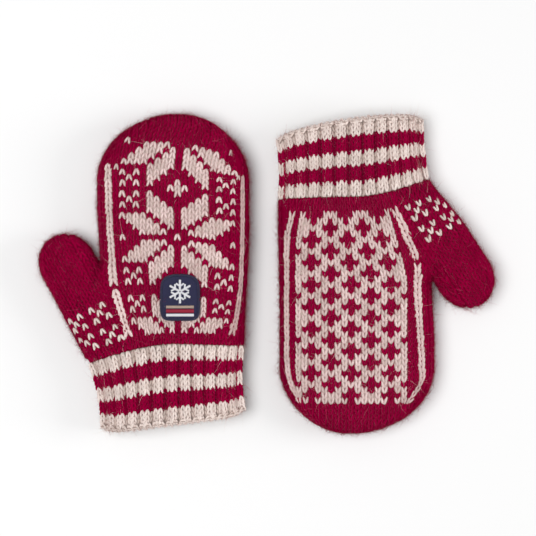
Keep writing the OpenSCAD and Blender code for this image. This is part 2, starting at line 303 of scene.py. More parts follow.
@dataclass(frozen=True)
class Form:
    """The outside of one mitten, as a field that is negative inside the fabric's outer face.

    Lengths are in millimetres and angles in degrees; names are those of the construction.
    """

    hand_w: float = 83.6
    hand_l: float = 126.0
    tip_l: float = 37.0
    tip_off: float = 3.3
    edge_z: float = 9.0
    hand_rise: float = 13.0
    pinch: float = 1.5
    pinch_l: float = 35.0
    waist: float = 2.6
    thumb_w: float = 29.6
    thumb_l: float = 34.0
    thumb_tip_l: float = 18.0
    thumb_angle: float = 27.0
    thumb_out: float = 8.9
    thumb_y: float = 29.0
    thumb_rise: float = 9.0
    thumb_lift: float = 1.0
    crotch_y: float = 45.0
    inner_wide: float = 0.0
    gusset_tuck: float = 0.0
    tuck_y: float = 5.0
    tuck_l: float = 24.0
    cuff_w: float = 79.6
    cuff_shift: float = 0.0
    cuff_l: float = 44.5
    cuff_rise: float = 9.5
    cuff_waist: float = 1.5
    join_swell: float = 2.0
    ribs: int = 24
    rib_d: float = 0.9
    hem_slope: float = 7.8
    hem_bow: float = 0.0
    hem_corner: float = 2.8
    join_dip: float = 11.0
    join_dip_side: float = 1.5
    join_bow: float = 0.0
    dip_power: float = 1.6
    settle: float = 0.4
    top_power: float = 2.2
    base_power: float = 3.0
    tip_power: float = 1.95
    tip_slim: float = 2.4
    tip_bend: float = 5.0

    @property
    def tip_y(self) -> float:
        """Where the fingertip end begins."""
        return self.hand_l - self.tip_l

    @property
    def pivot(self) -> Array:
        """The point in plan about which the thumb turns."""
        return np.array([-(self.hand_w / 2 + self.thumb_out), self.thumb_y])

    @property
    def gusset_top(self) -> Array:
        """The outermost point of the round root of the thumb."""
        turn = math.radians(self.thumb_angle)
        return self.pivot - self.thumb_w / 2 * np.array([math.cos(turn), math.sin(turn)])

    def gusset(self, y: Array) -> Array:
        """Distance of the outer side of the thumb gusset from the middle line."""
        top = self.gusset_top
        return -top[0] - (top[1] - y) * math.tan(math.radians(self.thumb_angle))

    def tuck(self, y: Array) -> Array:
        """How far the side of the gusset is drawn in at y."""
        return self.gusset_tuck * smooth((self.tuck_y - y) / self.tuck_l)

    def thumb_edge(self, y: Array) -> Array:
        """Distance of the edge on the thumb side from the middle line."""
        top, crotch = self.gusset_top, self.crotch_y
        half = self.hand_w / 2 + self.inner_wide
        bare = half - self.pinch * (1 - smooth((y - crotch) / self.pinch_l))
        web = mix(self.gusset(top[1]), half - self.pinch, (y - top[1]) / (crotch - top[1]))
        low = self.gusset(y) - self.tuck(y)
        return np.where(y > crotch, bare, np.where(y > top[1], web, low))

    def outer_edge(self, y: Array) -> Array:
        """Distance of the edge away from the thumb from the middle line."""
        return self.hand_w / 2 - self.waist * (1 - smooth(y / (0.7 * self.tip_y)))

    def hand_up(self, y: Array) -> Array:
        """Rise of the top above the widest line."""
        return mix(self.cuff_rise + self.join_swell, self.hand_rise, smooth(y / (self.tip_y / 2)))

    def dip(self, xs: Array, v: Array) -> Array:
        """How far a row lies towards the hem.

        Args:
            xs: share of the way from the middle line to an edge.
            v: Y of the row on the middle line.
        Returns:
            The negative drop, which fades out above the crotch of the thumb.
        """
        fade = np.maximum(0.0, 1 - np.maximum(0.0, v) / (self.crotch_y + 5)) ** 2
        inner = self.join_dip * np.maximum(0.0, -xs) ** self.dip_power
        outer = self.join_dip_side * np.maximum(0.0, xs) ** self.dip_power
        return -fade * (inner + outer + self.join_bow * fade)

    def hem_y(self, x: Array, xs: Array) -> Array:
        """Y of the cuff's end: a slope, a sag in the middle and two rounded corners."""
        slope = x * math.tan(math.radians(self.hem_slope)) - self.cuff_l
        return slope - self.hem_bow * (1 - xs**2) + self.hem_corner * np.abs(xs) ** 9

    def tip_x(self, y: Array, sign: float) -> Array:
        """X of the outline at y, past the start of the fingertips as a rounded end.

        Args:
            y: where along the hand.
            sign: +1 for the side away from the thumb, -1 for the thumb's side.
        Returns:
            X at each y.
        """
        s = np.clip((y - self.tip_y) / self.tip_l, 0, NEAR_POLE)
        slim = arch(s, self.tip_power)
        edge = self.outer_edge(y) if sign > 0 else self.thumb_edge(y)
        return self.tip_off * s**self.tip_bend + sign * edge * slim

    def ring_z(self, u: Array, xs: Array, up: Array, down: Array) -> Array:
        """Height over a ring at share xs of its half width, up over and down under edge_z."""
        over, under = up * arch(xs, self.top_power), down * arch(xs, self.base_power)
        return np.where(u < 0.5, self.edge_z + over, self.edge_z - under)

    def beside(self, a: Array, z: Array, rise: Array, slim: Array) -> Array:
        """The p-norm of a and z / rise, less 1, times slim: a field that is negative inside."""
        power = np.where(z > 0, self.top_power, self.base_power)
        return ((a**power + (np.abs(z) / rise) ** power) ** (1 / power) - 1) * slim

    def hand_point(self, u: Array, q: Array, inset: Array) -> Array:
        """Point of the hand: share u of the way round, at row q, set in from the outside.

        Round the ring x follows cos(2 pi u) and the height follows the arch over it. Past the
        start of the fingertip end the ring shrinks as a rounded end.

        Args:
            u: 0 at the outer side, 0.25 on top, 0.5 at the thumb side.
            q: distance from the cuff along the hand.
            inset: distance inside the outer face.
        Returns:
            Points, shaped as the arguments with a last axis of 3.
        """
        v = np.minimum(q, self.tip_y)
        s = np.clip((q - self.tip_y) / self.tip_l, 0, NEAR_POLE)
        slim = arch(s, self.tip_power)
        thin = arch(s, self.tip_slim)
        xs = np.cos(2 * math.pi * u)
        y = v + (self.tip_l - inset) * s
        inner = (self.thumb_edge(v + self.dip(-1.0, v)) - inset) * slim
        outer = (self.outer_edge(v) - inset) * slim
        up = (self.hand_up(v) - inset) * thin
        down = (self.edge_z + self.settle - inset) * thin
        z = np.maximum(self.ring_z(u, xs, up, down), inset * thin)
        x = self.tip_off * s**self.tip_bend + xs * np.where(xs < 0, inner, outer)
        return stack(x, y + self.dip(xs, y), z)

    def cuff_point(self, u: Array, f: Array, inset: Array, spread: float = 0.25) -> Array:
        """Point of the cuff, whose ring goes over from the hand's to the hem's.

        Args:
            u, inset: as for hand_point.
            f: 0 at the hand, 1 at the hem.
            spread: 0 for points that are even across the cuff, 1 for points even by angle.
        Returns:
            Points, shaped as the arguments with a last axis of 3.
        """
        w = np.where(u < 0.5, 2 * u, 2 - 2 * u)
        xs = mix(1 - 2 * w, np.cos(math.pi * w), spread)
        half = self.cuff_w / 2 - self.cuff_shift
        inner = mix(half, self.thumb_edge(self.dip(-1.0, 0.0)), np.clip(1 - f, 0, 1) ** 2)
        half = self.cuff_w / 2 + self.cuff_shift
        outer = mix(self.outer_edge(0.0), half, f) - self.cuff_waist * np.sin(math.pi * f)
        up = mix(self.hand_up(0.0), self.cuff_rise, smooth(2 * f)) - inset
        down = self.edge_z + self.settle - inset
        x = xs * (np.where(xs < 0, inner, outer) - inset)
        z = np.maximum(self.ring_z(u, xs, up, down), inset)
        return stack(x, mix(self.dip(xs, 0.0) - 0.3, self.hem_y(x, xs), f), z)

    def to_thumb(self, p: Array) -> Array:
        """Points in the thumb's own frame: its pivot at the origin, its tip along +Y."""
        turn = math.radians(self.thumb_angle)
        d = p[..., :2] - self.pivot
        x = math.cos(turn) * d[..., 0] + math.sin(turn) * d[..., 1]
        y = -math.sin(turn) * d[..., 0] + math.cos(turn) * d[..., 1]
        return np.stack([x, y, p[..., 2]], -1)

    def from_thumb(self, p: Array) -> Array:
        """Points of the thumb's own frame in the frame of the mitten."""
        turn = math.radians(self.thumb_angle)
        x = self.pivot[0] + math.cos(turn) * p[..., 0] - math.sin(turn) * p[..., 1]
        y = self.pivot[1] + math.sin(turn) * p[..., 0] + math.cos(turn) * p[..., 1]
        return np.stack([x, y, p[..., 2]], -1)

    def thumb_point(self, u: Array, q: Array, inset: Array) -> Array:
        """Point of the thumb, in the mitten's frame; its end is rounded like half an ellipse.

        Args:
            u, inset: as for hand_point.
            q: distance from the pivot along the thumb.
        Returns:
            Points, shaped as the arguments with a last axis of 3.
        """
        straight = self.thumb_l - self.thumb_tip_l
        s = np.clip((q - straight) / self.thumb_tip_l, 0, NEAR_POLE)
        slim = np.sqrt(1 - s * s)
        xs = np.cos(2 * math.pi * u)
        x = xs * (self.thumb_w / 2 - inset) * slim
        up = (self.thumb_rise - inset) * slim
        down = (self.edge_z - self.thumb_lift - inset) * slim
        y = np.minimum(q, straight) + (self.thumb_tip_l - inset) * s
        return self.from_thumb(stack(x, y, self.ring_z(u, xs, up, down)))

    def hand_field(self, p: Array) -> Array:
        """The hand as a field: the p-norm of x / half and z / rise, less 1, above the table.

        Args:
            p: points.
        Returns:
            A number for each, negative inside.
        """
        x, y, z = p[..., 0], p[..., 1], p[..., 2] - self.edge_z
        reach = (y - self.tip_y) / self.tip_l
        s = np.clip(reach, 0, NEAR_POLE)
        slim = arch(s, self.tip_power)
        thin = arch(s, self.tip_slim)
        x = x - self.tip_off * s**self.tip_bend
        a = np.abs(x) / (np.where(x < 0, self.thumb_edge(y), self.outer_edge(y)) * slim)
        rise = np.where(z > 0, self.hand_up(y), self.edge_z + self.settle) * thin
        body = self.beside(a, z, rise, slim)
        return np.maximum(np.maximum(body, reach - 1), -0.25 * p[..., 2])

    def thumb_field(self, p: Array) -> Array:
        """The thumb as a field of the same kind; it thins out where it runs into the gusset.

        Args:
            p: points.
        Returns:
            A number for each, negative inside.
        """
        t = self.to_thumb(p)
        x, y, z = t[..., 0], t[..., 1], t[..., 2] - self.edge_z
        reach = (y - self.thumb_l + self.thumb_tip_l) / self.thumb_tip_l
        s = np.clip(reach, 0, NEAR_POLE)
        slim = np.sqrt(1 - s * s)
        sunk = 1 - 0.4 * smooth((-6 - y) / 22)
        tuck = math.cos(math.radians(self.thumb_angle)) * self.tuck(p[..., 1])
        a = np.abs(x) / (self.thumb_w / 2 * slim - np.where(x < 0, tuck, 0.0))
        rise = np.where(z > 0, self.thumb_rise, self.edge_z - self.thumb_lift) * slim * sunk
        return np.maximum(self.beside(a, z, rise, slim), reach - 1)

    def distance(self, p: Array, over: Over) -> Array:
        """About the distance to an outer face: a field over the length of its slope.

        For both together, the distances of hand and thumb are joined by a rounded minimum.

        Args:
            p: points.
            over: which outer face.
        Returns:
            One number for each point, negative inside.
        """
        if over is Over.HAND:
            return self.slope_distance(self.hand_field, p)
        if over is Over.THUMB:
            return self.slope_distance(self.thumb_field, p)
        near, other = (self.slope_distance(of, p) for of in (self.hand_field, self.thumb_field))
        round_off = 0.3 + 2.2 * smooth(self.to_thumb(p)[..., 0] / self.thumb_w + 0.45)
        share = np.clip(0.5 + 0.5 * (other - near) / round_off, 0, 1)
        return mix(other, near, share) - round_off * share * (1 - share)

    def inside(self, p: Array, over: Over) -> Array:
        """Whether each point is inside an outer face."""
        if over is Over.BOTH:
            return self.distance(p, over) < 0
        return (self.hand_field(p) if over is Over.HAND else self.thumb_field(p)) < 0

    @staticmethod
    def slope_distance(of: Callable[[Array], Array], p: Array) -> Array:
        """The value of a field over the length of its slope, which is measured by steps."""
        step = 0.05
        slope = [(of(p + e) - of(p - e)) / (2 * step) for e in np.eye(3) * step]
        return of(p) / np.maximum(np.linalg.norm(slope, axis=0), 1e-3)

    def cast(self, start: Array, aim: Array, over: Over, reach: float = 24.0) -> tuple[Array, Array]:
        """Where rays from inside leave the fabric, found by halving, and the normals there.

        Args:
            start, aim: points inside, and the direction of each ray.
            over, reach: which outer face, and the length of the rays.
        Returns:
            Points on the outer face and outward normals.
        """
        near, far = np.zeros(len(start)), np.full(len(start), reach)
        for _ in range(18):
            half = (near + far) / 2
            inside = self.inside(start + half[:, None] * aim, over)
            near, far = np.where(inside, half, near), np.where(inside, far, half)
        p = start + near[:, None] * aim
        step = 0.15
        normal = [self.distance(p + e, over) - self.distance(p - e, over) for e in np.eye(3) * step]
        return p, unit(np.stack(normal, -1))


# ---- stitches


@dataclass
class Stitches:
    """A set of knit stitches.

    Args:
        middle: the middle of each, on the outer face.
        along, out: its directions towards the fingertips and out of the fabric.
        wide, tall: its size.
        cream: 1 for cream, 0 for crimson, or a share of cream.
        deep: 1 in a groove, where the stitch is painted darker as shade, else 0.
    """

    middle: Array
    along: Array
    out: Array
    wide: Array
    tall: Array
    cream: Array
    deep: Array

    @staticmethod
    def join(sets: list["Stitches"]) -> "Stitches":
        """All sets as one."""
        return Stitches(*(
            np.concatenate([getattr(s, f.name) for s in sets]) for f in fields(Stitches)
        ))

    def keep(self, mask: Array) -> "Stitches":
        """Only the stitches that the mask picks."""
        return Stitches(*(getattr(self, f.name)[mask] for f in fields(self)))

    @property
    def across(self) -> Array:
        """The direction across each stitch."""
        return np.cross(self.along, self.out)


@dataclass(frozen=True)
class YarnLoop:
    """One knit stitch: two legs of yarn that lean together towards the fingertips.

    Each leg runs from its foot, low and far from the middle, over a crest to its head, low and
    close to the middle, so that the heads of one row nest between the feet of the next.
    """

    yarn_r: float = 0.76
    wide: float = 3.8
    tall: float = 3.0
    foot: float = 0.4
    head: float = 0.065
    start: float = -0.8
    end: float = 0.76
    sink: float = 0.7
    rings: int = 4
    around: int = 6

    def template(self) -> Shape:
        """Both legs, in a frame with X across, Y towards the fingertips and Z out.

        A leg goes from foot to head by a line mixed half and half with its eased form, and sinks
        by the fourth power of its distance from the crest.
        """
        t = np.linspace(0, 1, self.rings + 2)
        bulge = 1 - (2 * t - 1) ** 2
        radius = self.yarn_r * (0.5 + 0.5 * bulge[1:-1])
        legs = []
        for hand in (-1.0, 1.0):
            x = hand * self.wide * mix(self.foot, self.head, 0.5 * t + 0.5 * smooth(t))
            y = self.tall * mix(self.start, self.end, t)
            z = -self.yarn_r - self.sink * (2 * t - 1) ** 4
            leg = capsule(stack(x, y, z), radius, self.around, np.array([1.0, 0.0, 0.0]))
            # crest: 0 at the bottom of the yarn, 1 at its top; the material paints shade where it is low
            depth = np.clip((leg.points[:, 2] + 2 * self.yarn_r) / (2 * self.yarn_r), 0, 1)
            leg.tags = {"crest": depth}
            legs.append(leg)
        return Shape.join(legs)

    def shape(self, stitches: Stitches, rng: Rng) -> Shape:
        """The yarn of all stitches, each a little off in place, size and shade.

        Args:
            stitches: where they are.
            rng: the source of chance.
        Returns:
            All their legs, with tags for colour, shade and crest.
        """
        n = len(stitches.middle)
        size = 1 + 0.05 * rng.standard_normal((n, 1))
        shift = 0.12 * rng.standard_normal((n, 1)) * stitches.across
        lift = 0.10 * rng.standard_normal((n, 1)) * stitches.out
        lean = 0.07 * rng.standard_normal((n, 1))
        across = unit(stitches.across + lean * stitches.along)
        axes = np.stack([
            across * stitches.wide[:, None] / self.wide * size,
            stitches.along * stitches.tall[:, None] / self.tall * size,
            stitches.out * size,
        ], 1)
        tags = {"cream": stitches.cream, "lot": rng.random(n)}
        shape = copies(self.template(), stitches.middle + shift + lift, axes, tags)
        # stitches in a groove get a lower crest, and so more painted shade
        shape.tags["crest"] *= 1 - 0.55 * np.repeat(stitches.deep, len(shape.points) // n)
        return shape


@dataclass(frozen=True)
class Fuzz:
    """Loose wool fibres that stand out of the stitches: thin, bent and pointed.

    A fibre follows root + length (t lean + t^2 curl), and thins out towards its tip.

    Args:
        count: how many there are.
        length, radius, lift: size of a common fibre, and how steeply it rises.
        side_share: how many more stand on the stitches of the sides, where they are painted darker as
            shade.
        side_tilt: how far the normal of a side's stitch points up or down at most.
        mixed: share of those on cream yarn that are crimson.
        strays: share that is thicker, over three times as long, and lies flatter.
        longest: length at which a fibre is cut.
    """

    count: int
    length: float = 1.9
    radius: float = 0.038
    lift: float = 0.42
    side_share: float = 3.5
    side_tilt: float = 0.6
    mixed: float = 0.45
    strays: float = 0.08
    longest: float = 7.0

    def shape(self, stitches: Stitches, rng: Rng) -> Shape:
        """Fibres over all stitches, with the colour of the yarn that each one grows from.

        Args:
            stitches: what they grow from.
            rng: the source of chance.
        Returns:
            All fibres, each a three-sided spike of two rings and a point.
        """
        aside = np.abs(stitches.out[:, 2]) < self.side_tilt
        share = 1.0 + self.side_share * aside
        pick = rng.choice(len(stitches.middle), self.count, p=share / share.sum())
        n = len(pick)
        out, along, across = stitches.out[pick], stitches.along[pick], stitches.across[pick]
        aside = aside[pick]
        turn = rng.random(n) * 2 * math.pi
        flat = np.cos(turn)[:, None] * across + np.sin(turn)[:, None] * along
        stray = rng.random((n, 1)) < self.strays
        low = np.where(stray, 0.4, 1.0)
        lift = low * (np.abs(rng.normal(self.lift, 0.3, n))[:, None] + 0.5 * aside[:, None])
        lean = unit(flat + lift * out)
        bend = rng.random(n) * 2 * math.pi
        curl = 0.75 * (np.cos(bend)[:, None] * across + np.sin(bend)[:, None] * along)
        curl = curl + low * rng.normal(-0.25, 0.35, n)[:, None] * out
        length = self.length * np.exp(0.35 * rng.standard_normal(n))[:, None]
        longer = np.where(stray, 3.2, np.where(aside[:, None], 1.15, 1.0))
        length = np.minimum(longer * length, self.longest)
        spot = (rng.random((n, 2)) - 0.5) * np.stack([stitches.wide[pick], stitches.tall[pick]], -1)
        root = stitches.middle[pick] + spot[:, :1] * across + spot[:, 1:] * along - 0.6 * out
        t = np.array([0.0, 0.5, 1.0])[None, :, None]
        path = root[:, None] + length[:, None] * (t * lean[:, None] + t * t * curl[:, None])
        side = unit(np.cross(lean, out + 0.01 * across))
        up = np.cross(side, lean)
        thick = self.radius * np.where(stray, 1.3, 1.0) * np.array([[1.0, 0.8]])
        ring = circle(3, side, up)[:, None]
        rings = path[:, :2, None] + thick[:, :, None, None] * ring
        points = np.concatenate([rings.reshape(n, 6, 3), path[:, 2:]], 1)
        shift = (np.arange(n) * 7)[:, None, None]
        tris = np.concatenate([fan_faces(3, 3, 6), [[0, 2, 1]]])
        # fibres on the sides get low lots, which the material paints in shade; strays get pale ones
        dark, pale, any_lot = 0.4 * rng.random(n), 0.7 + 0.3 * rng.random(n), rng.random(n)
        lot = np.where(aside, dark, np.where(stray[:, 0], pale, any_lot))
        cream = stitches.cream[pick] * (rng.random(n) > self.mixed)
        return Shape(
            points.reshape(-1, 3),
            (tube_faces(2, 3)[None] + shift).reshape(-1, 4),
            (tris[None] + shift).reshape(-1, 3),
            {"cream": np.repeat(cream, 7), "lot": np.repeat(lot, 7)},
        )


# ---- patterns


@dataclass(frozen=True)
class Pattern:
    """A two-colour pattern on one face of the hand, counted in columns and rows of stitches.

    Args:
        first, row: Y of row 0, and the height of a row.
        low, high: first and last row of the pattern.
        thumb_line, outer_line: the two cream stripes, as (y, x) pairs.
        sag, tip_sag: how far the rows drop towards the outer side, and more at the fingertips.
        middle, column: X of the middle column, and the distance between columns.
        thumb_gap: Y of the break in the stripe beside the thumb.
        outer_in: how far inside the outline the face ends on the outer side.
        thumb_cream, outer_cream: how much of the cream yarn shows in the stripes.
        thumb_end: Y above which the stripes are single small stitches.
        lean, lean_from, lean_over: how far the columns of the thumb side lean outwards at the
            cuff, X where the lean begins, and how far on it is full.
        lean_end, lean_power: Y where that lean ends, and how it fades.
        outer_lean, outer_end: how far the outer columns lean inwards at the cuff, and to which Y.
        tip_lean: how far the columns lean outwards at the fingertips.
    """

    first: float
    row: float
    low: int
    high: int
    thumb_line: Line
    outer_line: Line
    sag: float = 0.0
    middle: float = 3.0
    column: float = 3.8
    thumb_gap: float = 30.0
    outer_in: float = 3.3
    thumb_cream: float = 1.0
    outer_cream: float = 1.0
    thumb_end: float = 200.0
    lean: float = 0.0
    lean_from: float = 2.0
    lean_over: float = 30.0
    lean_end: float = 75.0
    lean_power: float = 1.5
    tip_lean: float = 0.0
    outer_lean: float = 0.0
    outer_end: float = 40.0
    tip_sag: float = 0.0

    def grid_x(self, i: Array, v: Array) -> Array:
        """X of the columns: an even grid that leans beside the thumb and at both ends.

        Args:
            i: number of the column, 0 in the middle.
            v: Y of the row on the middle line.
        Returns:
            X of each stitch.
        """
        x = self.middle + self.column * i + 0.0 * v
        share = np.clip((self.lean_from - x) / self.lean_over, 0, 1)
        fade = np.clip(1 - v / self.lean_end, 0, 1.1) ** self.lean_power
        tuck = np.clip((x - 10) / 22, 0, 1) * np.clip(1 - v / self.outer_end, 0, 1.1) ** 1.5
        tip = self.tip_lean * np.clip((v - 88) / 24, 0, 1.5) ** 2
        return x + self.lean * share * fade - self.outer_lean * tuck + tip

    def row_y(self, form: Form, x: Array, v: Array) -> Array:
        """Y of a row.

        Args:
            form: the mitten that the pattern is on.
            x: where across it.
            v: Y of the row on the middle line.
        Returns:
            Y at each x, with the dip at the join and the sag of the outer side.
        """
        xs = np.clip(x / np.where(x < 0, form.thumb_edge(v), form.outer_edge(v)), -1, 1)
        drop = self.sag * smooth((v - 6) / 30) + self.tip_sag * smooth((v - 84) / 24)
        drop = drop * smooth((x - 2) / 34)
        return v + form.dip(xs, v) - drop

    def on_line(self, form: Form, line: Line, v: Array) -> Array:
        """X where rows meet a stripe, which is straight between its named points.

        Args:
            form: the mitten that the pattern is on.
            line: the stripe.
            v: Y of each row on the middle line.
        Returns:
            X, found by going from row to stripe and back a few times.
        """
        ys, xs = np.array(line).T
        x = np.interp(v, ys, xs)
        for _ in range(4):
            x = np.interp(self.row_y(form, x, v), ys, xs)
        return x

    def cream(self, i: Index, j: Index) -> Array:
        """1 where the stitch at column i, row j is cream, 0 where it is crimson."""
        raise NotImplementedError


@dataclass(frozen=True)
class StarPattern(Pattern):
    """Eight-petalled stars over each other on the back of the hand, with a lattice between."""

    repeat: int = 18

    def cream(self, i: Index, j: Index) -> Array:
        """Petals are slanted bands either side of the diagonals of each star.

        c counts columns from the middle line and r rows from the nearest star's middle. One row
        is doubled half a repeat below the middle star.
        """
        c = np.abs(i)
        row = np.where(j < -self.repeat // 2, j + 1, j)
        r = np.abs((row + self.repeat // 2) % self.repeat - self.repeat // 2)
        flat_petal = (r >= 1) & (r <= 4) & (c >= r + 1) & (c <= r + 4)
        tall_petal = (c >= 1) & (c <= 4) & (r >= c + 1) & (r <= c + 4)
        eye = (r == 0) & (((c == 0) & (np.abs(j) < self.repeat)) | (c == 8))
        crown = ((r == 9) & (c <= 1)) | ((r == 8) & (c == 0))
        lattice = (np.isin(r, (6, 8)) & np.isin(c, (6, 8))) | ((r == 7) & (c == 7))
        corner = (c == 9) & (j == 13)
        inside = (j >= self.low) & (j <= self.high)
        return ((flat_petal | tall_petal | eye | crown | lattice) & inside | corner).astype(float)


@dataclass(frozen=True)
class PlusPattern(Pattern):
    """Small crimson plus signs on a cream ground, staggered by half a repeat, on the palm."""

    def cream(self, i: Index, j: Index) -> Array:
        """Crimson within one stitch, counted along the grid, of the middle of a plus sign.

        On the outermost columns only every second plus is cut off, and none begins in the last
        row.
        """
        straight = np.abs((i + 3) % 6 - 3) + np.abs((j + 2) % 4 - 2)
        between = np.abs(i % 6 - 3) + np.abs(j % 4 - 2)
        whole = (j < self.high) & ((np.abs(i) < 8) | (j % 8 != 6))
        plus = (straight <= 1) | ((between <= 1) & whole)
        inside = (j >= self.low) & (j <= self.high) & (np.abs(i) <= 8)
        return (~plus & inside).astype(float)


BACK = StarPattern(
    first=58.0, row=2.97, low=-17, high=18, sag=4.4,
    thumb_line=((3.6, -23.6), (21.8, -28.9), (28, -31), (36, -32.6), (60, -34.4), (97, -35.7)),
    outer_line=(
        (5.5, 32.6), (8.3, 33.7), (15.7, 35.6), (23, 36.6), (33, 37.8), (54, 38.6), (92, 38.8),
    ),
    outer_in=1.8, outer_cream=0.72, lean=9.5, lean_over=29.0, lean_end=62.0, lean_power=1.35,
    tip_lean=3.0, outer_lean=5.5, outer_end=60.0, tip_sag=3.0,
)
PALM = PlusPattern(
    first=19.8, row=3.02, low=-4, high=29, middle=2.87, column=3.63,
    thumb_line=(
        (2.1, -19.9), (8, -23.5), (15.4, -26.6), (25.8, -31.2), (30.7, -33.4),
        (53.4, -34.0), (78, -35.6), (96.4, -36.4), (100, -34.3), (107, -29.9), (110, -26),
    ),
    outer_line=(
        (4.5, 35.0), (10.4, 36.5), (17.8, 38.0), (30, 38.4), (84, 38.3), (92.7, 37.5),
        (99.5, 35.5), (108, 31.1),
    ),
    outer_in=2.2, outer_cream=0.93, thumb_cream=0.88, thumb_end=97.0, lean=12.5, lean_from=18.0,
    lean_over=46.0, lean_end=42.0, lean_power=1.15, outer_lean=4.5, outer_end=24.0,
)


# ---- the knitting


def spread(x: Array, low: Array, high: Array) -> tuple[Array, Array]:
    """Widths of columns that fill their row: half the way to the neighbour on either side.

    Args:
        x: places of the columns, one row each, NaN where a row lacks one.
        low, high: what stands on the left and on the right of each row.
    Returns:
        The middle between the neighbours of each column, and its width.
    """
    order = np.argsort(x, axis=1)
    ranked = np.take_along_axis(x, order, 1)
    ahead = np.concatenate([ranked[:, 1:], np.full((len(x), 1), np.nan)], 1)
    ahead = np.fmin(np.where(np.isnan(ahead), np.inf, ahead), high[:, None])
    behind = np.concatenate([low[:, None], ranked[:, :-1]], 1)
    back = np.argsort(order, axis=1)
    middle, width = (ahead + behind) / 2, (ahead - behind) / 2
    return np.take_along_axis(middle, back, 1), np.take_along_axis(width, back, 1)


def evened(x: Array, low: Array, high: Array, loose: Array) -> tuple[Array, Array]:
    """The columns of spread with the loose ones between their neighbours, and their widths."""
    x = np.where(loose, spread(x, low, high)[0], x)
    return x, spread(x, low, high)[1]


def last_places(x: Array, y: Array, good: Array) -> tuple[Array, Array]:
    """X and y of the highest good stitch in each column of a grid."""
    height = np.where(good, y, -np.inf)
    return x[np.argmax(height, axis=0), np.arange(x.shape[1])], np.max(height, axis=0)


